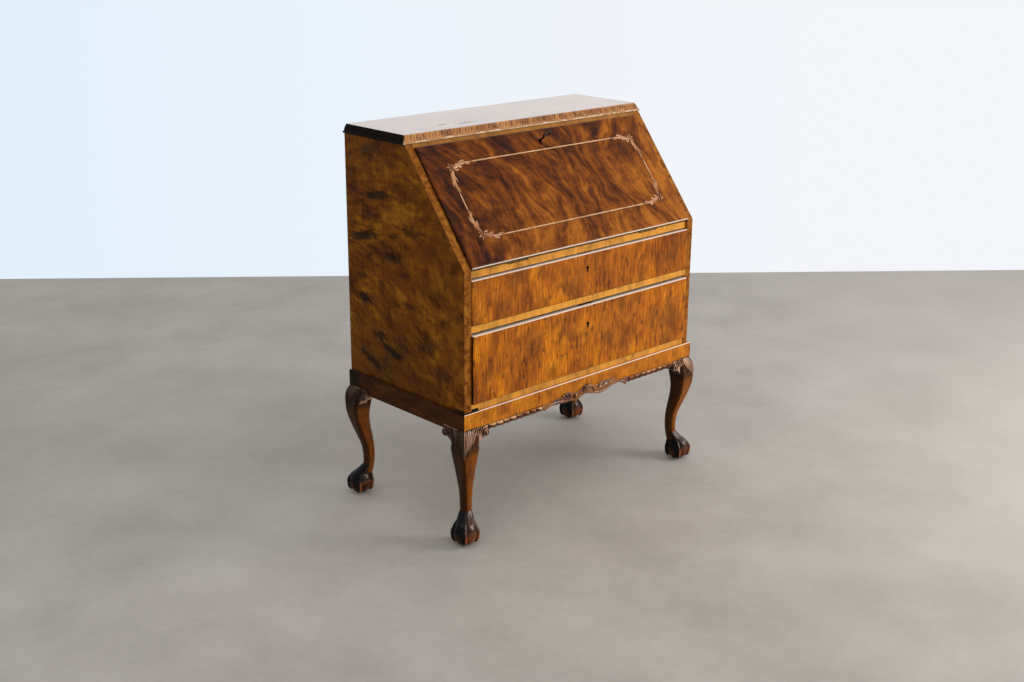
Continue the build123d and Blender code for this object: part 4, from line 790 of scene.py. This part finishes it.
# Knee ears. Small blocks glued beside each knee carry its leaf on to the apron and end in a
# scroll. Each is sawn to its outline, fluted with a gouge and cut round with a spiral.
def plate(name, outline, thick, edge):
    """Sawn plate from its outline, its edges taken off. It lies in x and y, and stands up in z."""
    bpy.ops.curve.primitive_nurbs_circle_add()
    curve = bpy.context.object.data
    curve.splines.clear()
    line = curve.splines.new("POLY")
    line.points.add(len(outline) - 1)
    for place, (x, y) in zip(line.points, outline):
        place.co = (x, y, 0, 1)
    line.use_cyclic_u = True
    curve.dimensions = "2D"
    curve.fill_mode = "BOTH"
    curve.extrude = thick / 2 - edge
    curve.bevel_depth = edge
    curve.bevel_resolution = 2
    curve.offset = -edge
    bpy.ops.object.convert(target="MESH")
    bpy.context.object.data.transform(Matrix.Translation((0, 0, thick / 2)))
    return shaped(name, 50)


ear_reach, ear_drop, scroll_radius, scroll_drop, ear_proud = 0.081, 0.052, 0.011, 0.0185, 0.007
scroll = Vector((ear_reach - scroll_radius, -scroll_drop))


def ear_outline():
    """Along the apron's foot, round the scroll and back down to the knee."""
    line = [(post * 0.45, -0.0005), (scroll.x + 0.0085, -0.0005)]
    for turn_step in range(4, 13):
        line.append(around(scroll, scroll_radius, math.radians(90 - turn_step * 15)))
    line += [(0.062, -0.0295), (0.0545, -0.0345), (0.048, -0.0415), (0.0435, -ear_drop)]
    line.append((post * 0.45, -ear_drop))
    return line


def boss(radius, place):
    """A small round button."""
    bpy.ops.mesh.primitive_uv_sphere_add(segments=24, ring_count=16, radius=radius, location=place)
    button = bpy.context.object
    bpy.ops.object.transform_apply(location=True)
    bpy.ops.object.shade_smooth()
    button.select_set(False)
    return button


def ear():
    """One ear seen square to its face: x runs in from the corner, y up, and z out of the face."""
    thick = post / 2 + ear_proud
    block = plate("ear", ear_outline(), thick - 0.003, 0.002)
    block.data.transform(Matrix.Translation((0, 0, ear_proud - thick)))
    spiral = []
    for turn_step in range(14):
        radius = scroll_radius * (0.86 - turn_step * 0.010)
        place = around(scroll, radius, math.radians(100 + turn_step * 30))
        lift, girth = ear_proud - 0.0010 + turn_step * 0.00005, 0.0023 - turn_step * 0.00003
        spiral.append((*place, lift, girth))
    runs = [spiral]
    for rib in range(4):
        start = 0.030 + rib * 0.0080
        length = 0.040 - rib * 0.0055
        runs.append([
            (start + 0.008, -0.001, ear_proud - 0.0030, 0.0024),
            (start + 0.003, -length * 0.35, ear_proud - 0.0014, 0.0028),
            (start - 0.006, -length * 0.75, ear_proud - 0.0012, 0.0024),
            (start - 0.012, -length, ear_proud - 0.0030, 0.0008),
        ])
    button = boss(0.0048, (scroll.x, scroll.y, ear_proud - 0.0006))
    return joined("ear", block, strokes("ear_ribs", runs, 4), button)


front_ear = ear()
side_ear = mirrored(front_ear, "side_ear", 1, 1, 1)
front_ear.data.transform(Matrix((
    (1, 0, 0, corner.x), (0, 0, -1, corner.y), (0, 1, 0, leg_top), (0, 0, 0, 1)
)))
side_ear.data.transform(Matrix((
    (0, 0, -1, corner.x), (1, 0, 0, corner.y), (0, 1, 0, leg_top), (0, 0, 0, 1)
)))
side_ear.data.flip_normals()
ear_pair = coloured(joined("ear_pair", front_ear, side_ear), knee_wood)
other_ears = [mirrored(ear_pair, "ear_copy", *flips) for flips in other_corners.values()]
ears = joined("carved_ears", ear_pair, *other_ears)
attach(ears, "case")
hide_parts("knee_ears")

# Apron carving. A flowing band of scrolls and leaves, sawn out as one plate, carved and glued on
# the apron. Its two halves differ. Places are in metres from the desk's middle and the apron's foot.
trim_wood = carved(
    "trim_wood", (0.006, 0.002, 0.001), (0.090, 0.022, 0.004), (0.380, 0.130, 0.028),
    reach=0.010, coat=0.8, left_shade=0.5,
)
carving_low = (
    (-0.172, -0.002), (-0.167, -0.012), (-0.162, -0.016), (-0.155, -0.012), (-0.139, -0.008),
    (-0.12, -0.0096), (-0.095, -0.011), (-0.069, -0.012), (-0.043, -0.0134), (-0.0275, -0.0124),
    (-0.017, -0.008), (-0.005, -0.005), (0.010, -0.008), (0.021, -0.011), (0.040, -0.016),
    (0.062, -0.019), (0.083, -0.014), (0.107, -0.007), (0.132, -0.0044), (0.148, -0.010),
    (0.158, -0.018), (0.166, -0.014), (0.172, -0.002),
)
carving_high = (
    (0.172, 0.002), (0.160, 0.003), (0.150, 0.001), (0.138, 0.0016), (0.125, 0.004),
    (0.115, 0.012), (0.107, 0.0154), (0.089, 0.014), (0.076, 0.015), (0.062, 0.016),
    (0.045, 0.010), (0.029, 0.012), (0.019, 0.019), (0.005, 0.020), (-0.007, 0.0196),
    (-0.017, 0.015), (-0.029, 0.010), (-0.041, 0.005), (-0.055, 0.010), (-0.065, 0.0136),
    (-0.088, 0.0134), (-0.098, 0.006), (-0.117, 0.005), (-0.131, 0.002), (-0.150, 0.001),
    (-0.172, 0.002),
)

# Strokes over the plate, each with its places, heights and radii.
carving_runs = [
    [(-0.171, -0.004, 0.002, 0.002), (-0.163, -0.011, 0.004, 0.0048), (-0.154, -0.007, 0.005, 0.0042),
     (-0.138, -0.002, 0.006, 0.0042), (-0.114, -0.002, 0.006, 0.0048), (-0.090, -0.006, 0.006, 0.0046),
     (-0.066, -0.009, 0.004, 0.003)],
    [(-0.012, 0.000, 0.002, 0.002), (-0.013, 0.010, 0.005, 0.0038), (-0.004, 0.0165, 0.006, 0.0044),
     (0.010, 0.0165, 0.006, 0.0048), (0.024, 0.012, 0.006, 0.0046), (0.031, 0.002, 0.005, 0.004),
     (0.028, -0.008, 0.003, 0.003)],
    [(-0.010, 0.000, 0.004, 0.0016), (0.000, 0.0035, 0.006, 0.0026), (0.012, 0.001, 0.0065, 0.0030),
     (0.022, -0.006, 0.004, 0.0016)],
    [(0.028, -0.004, -0.001, 0.005), (0.050, -0.003, -0.002, 0.0095), (0.078, 0.002, -0.002, 0.0095),
     (0.104, 0.003, -0.001, 0.007), (0.126, 0.001, 0.001, 0.004), (0.146, -0.003, 0.001, 0.002)],
    [(0.026, -0.009, 0.003, 0.002), (0.044, -0.013, 0.004, 0.0032), (0.064, -0.0145, 0.0045, 0.0032),
     (0.086, -0.009, 0.0045, 0.0028), (0.112, -0.003, 0.003, 0.002)],
    [(0.136, -0.001, 0.002, 0.002), (0.149, -0.006, 0.005, 0.0042), (0.158, -0.012, 0.005, 0.0050),
     (0.166, -0.009, 0.004, 0.0034), (0.171, -0.003, 0.002, 0.002)],
]

# Leaflets that curve from a root to a tip, with their bow and thickness.
for root_x, root_y, tip_x, tip_y, bow, thick in (
    (-0.060, -0.008, -0.106, 0.009, 0.2, 0.0040), (-0.060, -0.007, -0.096, 0.0125, 0.2, 0.0042),
    (-0.058, -0.006, -0.083, 0.0145, 0.2, 0.0044), (-0.056, -0.005, -0.070, 0.0135, 0.15, 0.0040),
    (-0.036, -0.006, -0.031, 0.007, 0.1, 0.0034), (-0.035, -0.006, -0.022, 0.0125, -0.1, 0.0038),
    (-0.033, -0.007, -0.014, 0.016, -0.15, 0.0038), (0.040, -0.004, 0.066, 0.013, 0.15, 0.0030),
    (0.054, -0.005, 0.088, 0.0125, 0.15, 0.0030), (0.070, -0.006, 0.108, 0.011, 0.15, 0.0028),
    (0.088, -0.004, 0.124, 0.005, 0.1, 0.0024),
):
    root, reach = Vector((root_x, root_y)), Vector((tip_x - root_x, tip_y - root_y))
    bulge = Vector((-reach.y, reach.x)) * bow
    leaflet = []
    for share, bowed, lift, swell in (
        (0, 0, 0.003, 0.5), (0.35, 0.8, 0.006, 0.9), (0.7, 0.8, 0.006, 1.0), (1, 0, 0.003, 0.2)
    ):
        leaflet.append((*(root + reach * share + bulge * bowed), lift, thick * swell))
    carving_runs.append(leaflet)
knob = boss(0.0080, (-0.0445, -0.0015, 0.004))
carving = joined(
    "carved_apron_centre",
    plate("carving_plate", carving_low + carving_high, 0.0045, 0.0012),
    strokes("carving_strokes", carving_runs, 6),
    knob,
)
carving.data.transform(Matrix((
    (1, 0, 0, 0), (0, 0, -0.85, corner.y), (0, 1, 0, leg_top), (0, 0, 0, 1)
)))
coloured(carving, trim_wood)
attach(carving, "case")
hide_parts("apron_carving")

# Gadroon strips. A quarter round under the apron, cut into leaning lobes with a dark groove
# between each and the next.
gadroon_start, gadroon_end, gadroon_pitch = 0.173, 0.3655, 0.0240
gadroon_drop, gadroon_out = 0.0145, 0.0072
gadroon_round, gadroon_back = 0.72, 0.888  # shares of the way round the section
# Below the top the lobes are painted darker, a painted shade, so that their top edge stays light.
gadroon_wood = carved(
    "gadroon_wood", (0.004, 0.001, 0.001), (0.420, 0.160, 0.045), (0.850, 0.480, 0.220),
    reach=0.006, coat=0.6, left_shade=0.3, patch=(0.3335, 0.3310, (0.130, 0.036, 0.007)),
)


def gadroon_point(u, v):
    """Round the lobes, up the hidden back, and forward along the top."""
    x = gadroon_start + (gadroon_end - gadroon_start) * v
    if u < gadroon_round:
        share = u / gadroon_round
        angle = share * math.pi / 2 * 1.05
        lobe = abs(math.sin(math.pi * ((x - gadroon_start) / gadroon_pitch + share * 0.6))) ** 0.6
        swell = 0.2 + 0.8 * lobe
        out = gadroon_out * math.cos(angle) * swell + 0.001
        down = gadroon_drop * math.sin(min(angle, math.pi / 2)) * (0.86 + 0.14 * lobe)
        return Vector((x, corner.y - out, leg_top - down))
    foot = Vector((x, corner.y - 0.001, leg_top - gadroon_drop * 0.86))
    heel = Vector((x, corner.y + 0.011, leg_top))
    if u < gadroon_back:
        return foot.lerp(heel, (u - gadroon_round) / (gadroon_back - gadroon_round))
    return heel.lerp(gadroon_point(0, v), (u - gadroon_back) / (1 - gadroon_back))


gadroon_right = skin("gadroon_right", 48, 260, gadroon_point)
gadroon_left = mirrored(gadroon_right, "gadroon_left", -1, 1, 1)
gadroon = coloured(joined("carved_gadroon", gadroon_right, gadroon_left), gadroon_wood)
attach(gadroon, "case")
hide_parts("gadroon_strips")

# Mouldings of the top. The side ones are plain and painted black, a painted shade. Along the front,
# under a narrow flat edge, runs a row of leaning tongues with veins, then a bead cut into small waves.
black_shade_wood = carved(
    "black_shade_wood", (0.003, 0.002, 0.001), (0.006, 0.004, 0.003), (0.010, 0.006, 0.004),
    reach=0.006, coat=0.0, left_shade=0,
)
black_shade_wood.node_tree.nodes["Principled BSDF"].inputs["Specular IOR Level"].default_value = 0.02
dress(black_shade_wood, "top_moulding_sides")
# The bead and the foot of the tongues are painted pale, a painted highlight.
mould_wood = carved(
    "mould_wood", (0.012, 0.004, 0.001), (0.260, 0.082, 0.014), (0.560, 0.240, 0.065),
    reach=0.006, coat=0.8, left_shade=0, patch=(1.0420, 1.0390, (0.900, 0.620, 0.360)),
)
top_edge = Vector((0, 0.002, 1.026))
mould_half, tongue_pitch, wave_pitch = 0.431, 0.0205, 0.0088
flat_end, tongue_end, bead_end = 0.06, 0.68, 0.9  # shares of the way round the section


def mould_point(u, v):
    """Down the flat edge, the tongues and the bead, then back and up behind them."""
    if u < flat_end:
        share = u / flat_end
        out, up = 0.0005 + 0.0015 * share, 0.023
    elif u < tongue_end:
        share = (u - flat_end) / (tongue_end - flat_end)
        out, up = 0.002 + 0.0085 * share**1.3, 0.0225 - 0.0165 * share
    elif u < bead_end:
        share = (u - tongue_end) / (bead_end - tongue_end)
        angle = math.radians(80 - 170 * share)
        out, up = 0.0105 + 0.0022 * math.cos(angle), 0.0028 + 0.0026 * math.sin(angle)
    else:
        share = (u - bead_end) / (1 - bead_end)
        out, up = 0.0105 * (1 - share), 0.0001 + 0.0228 * max(0, share - 0.5) * 2
    x = (2 * v - 1) * (mould_half + out)
    if flat_end <= u < tongue_end:
        phase = (x / tongue_pitch + 0.35 * share) % 1 - 0.5
        tongue = max(math.cos(math.pi * phase), 0) ** 0.5
        vein = math.exp(-((phase / 0.07) ** 2)) * 0.4
        fade = math.sin(math.pi * share) ** 0.6
        out += (tongue - vein - 0.7) * 0.0046 * fade
    if tongue_end <= u < bead_end:
        out += 0.0009 * math.sin(2 * math.pi * x / wave_pitch)
    return Vector((x, top_edge.y - out, top_edge.z + up))


front_mould = coloured(skin("carved_top_edge", 44, 1300, mould_point), mould_wood)
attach(front_mould, "case")
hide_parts("top_moulding_front")

# String and corner carvings of the fall. The string is a thin bead of pale walnut, made paler still
# as a painted highlight. Where its lengths would meet, thin scrolls and leaves are glued. x runs in
# along the level bead and y along the upright one, from the corner.
bead_wood = carved(
    "bead_wood", (0.100, 0.035, 0.010), (0.560, 0.280, 0.120), (0.760, 0.450, 0.220),
    reach=0.003, coat=1.0, left_shade=0.3,
)
leaf_wood = carved(
    "leaf_wood", (0.008, 0.003, 0.001), (0.300, 0.090, 0.026), (0.640, 0.290, 0.120),
    reach=0.005, coat=0.6, left_shade=0.5,
)
dress(bead_wood, "fall_string")
corner_relief, corner_sunk = 0.0028, 0.002
flower = Vector((0.009, 0.009))

# Scrolls and leaves as x, y and half width, without the flower.
corner_shapes = (
    ((0.016, 0.010, 0.005), (0.026, 0.007, 0.008), (0.037, 0.004, 0.009), (0.050, -0.001, 0.006),
     (0.064, 0.001, 0.003), (0.086, 0.000, 0.001)),
    ((0.010, 0.016, 0.006), (0.007, 0.026, 0.010), (0.004, 0.039, 0.012), (-0.001, 0.052, 0.008),
     (0.001, 0.066, 0.004), (0.000, 0.086, 0.001)),
    ((0.018, 0.014, 0.003), (0.024, 0.018, 0.005), (0.031, 0.017, 0.002)),
    ((0.028, 0.004, 0.004), (0.036, 0.011, 0.005), (0.046, 0.010, 0.002)),
    ((0.040, 0.000, 0.004), (0.050, -0.007, 0.004), (0.060, -0.006, 0.002)),
    ((0.004, 0.030, 0.005), (0.011, 0.038, 0.006), (0.011, 0.050, 0.002)),
    ((0.000, 0.044, 0.005), (-0.008, 0.052, 0.005), (-0.007, 0.064, 0.002)),
    ((0.060, 0.001, 0.003), (0.068, 0.006, 0.003), (0.077, 0.004, 0.001)),
    ((0.001, 0.062, 0.003), (0.007, 0.070, 0.003), (0.005, 0.080, 0.001)),
)
corner_runs = [
    [(x, y, corner_relief - max(wide, 0.0018), wide) for x, y, wide in shape] for shape in corner_shapes
]
for petal in range(6):
    corner_runs.append([
        (*around(flower, reach, math.radians(petal * 60 + 15)), corner_relief - wide, wide)
        for reach, wide in ((0.003, 0.0022), (0.007, 0.0040), (0.011, 0.0030), (0.013, 0.0012))
    ])
corner_runs.append([(*flower, 0.001, 0.0026), (*flower, 0.002, 0.0020)])
string_half, string_low, string_high = 0.348, 0.073, 0.285
slope_frame = Matrix.Translation((0, front_face, slope_foot)) @ Matrix.Rotation(slope, 4, "X")
fall_proud = 0.008
one_corner = strokes("corner_carving", corner_runs, 5)
for vertex in one_corner.data.vertices:
    vertex.co.z = max(vertex.co.z, -corner_sunk)
corners = []
for hand, rise in ((1, 1), (-1, 1), (1, -1), (-1, -1)):
    copy = mirrored(one_corner, "corner_copy", hand, rise, 1)
    string_at = (-hand * string_half, string_low if rise > 0 else string_high, fall_proud)
    copy.data.transform(slope_frame @ Matrix.Translation(string_at))
    corners.append(copy)
bpy.data.objects.remove(one_corner)
corner_set = coloured(joined("carved_fall_corners", *corners), leaf_wood)
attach(corner_set, "fall")
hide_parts("fall_corner_carvings")

# Floor and wall. A pale worn floor, painted lighter towards the front right as painted light, and
# behind the desk a wall that glows white for the camera and in reflections, cooler at its left.
floor_finish, place, shader = finish("floor")
cloud = noise(place, (2.4, 2.4, 1), 7, 0.6)
grit = noise(place, (34, 34, 1), 3, 0.6)
colour = ramp(
    cloud * 0.8 + grit * 0.2,
    (0.36, (0.430, 0.395, 0.362)), (0.50, (0.495, 0.456, 0.420)), (0.64, (0.550, 0.510, 0.472)),
)
# Painted light: the floor is painted paler towards the front right.
lit_side = step(along(place, (0.72, -0.69, 0)), 0.5, 2.2)
colour = mixed(lit_side * 0.6, colour, (0.610, 0.565, 0.525))
lay(place, shader, colour, grit * 0.1 + 0.6, grit, 0.0004, 0.3, 0.0)
bpy.ops.mesh.primitive_plane_add(size=16)
floor = coloured(bpy.context.object, floor_finish)
floor.name = "floor"
wall_finish, place, shader = finish("wall")
wall_turn, wall_distance = math.radians(39.85), 5.88
wall_way = Vector((math.sin(wall_turn), math.cos(wall_turn), 0))
wall_at = Vector((eye.x, eye.y, 0)) + wall_way * wall_distance
rightward = along(place, level) - wall_at.dot(level)
tint = ramp(step(rightward, -2.3, 2.0), (0.0, (0.760, 0.865, 0.960)), (1.0, (0.900, 0.915, 0.955)))
shader["Base Color"].default_value = (0.85, 0.88, 0.9, 1)
glow = place.make("Emission", {}, {"Color": tint, "Strength": 1.0})
seen = sum(
    (place.make("LightPath", {}, {}, ray) for ray in ("Is Glossy Ray", "Is Transmission Ray")),
    place.make("LightPath", {}, {}, "Is Camera Ray"),
)
tree = wall_finish.node_tree
plain = Grain(tree, tree.nodes["Principled BSDF"].outputs[0])
surface = place.make("MixShader", {}, {0: seen, 1: plain, 2: glow})
tree.links.new(surface.socket, tree.nodes["Material Output"].inputs["Surface"])
bpy.ops.mesh.primitive_plane_add(size=14)
wall = coloured(bpy.context.object, wall_finish)
wall.name = "wall"
upended = Matrix.Rotation(math.radians(90), 4, "X")
wall.data.transform(Matrix.Translation(wall_at) @ Matrix.Rotation(-wall_turn, 4, "Z") @ upended)


# Lights. A window in front and to the right, low enough to show in the rounded edges and not in
# the fall, a wide weaker lamp above, and an even glow all round.
def lamp(name, place, aim, size, watts, colour):
    """A flat lamp turned to its aim."""
    bpy.ops.object.light_add(type="AREA", location=place)
    light = bpy.context.object
    light.name = name
    light.data.shape = "RECTANGLE"
    light.data.size, light.data.size_y = size
    light.data.energy = watts
    light.data.color = colour
    light.visible_camera = False
    light.rotation_euler = (Vector(aim) - Vector(place)).to_track_quat("-Z", "Y").to_euler()


lamp("key_lamp", (2.1, -2.45, 1.6), (0, -0.2, 0.6), (1.2, 1.3), 46, (1.0, 0.98, 0.95))
lamp("top_lamp", (-0.2, -0.6, 3.6), (0, 0, 0.5), (3.4, 3.4), 14, (1.0, 1.0, 1.0))
world = bpy.data.worlds.new("room")
bpy.context.scene.world = world
world.use_nodes = True
glow_all_round = world.node_tree.nodes["Background"].inputs
glow_all_round["Color"].default_value = (0.97, 0.98, 0.97, 1)
glow_all_round["Strength"].default_value = 0.66
bpy.context.scene.view_settings.view_transform = "Standard"
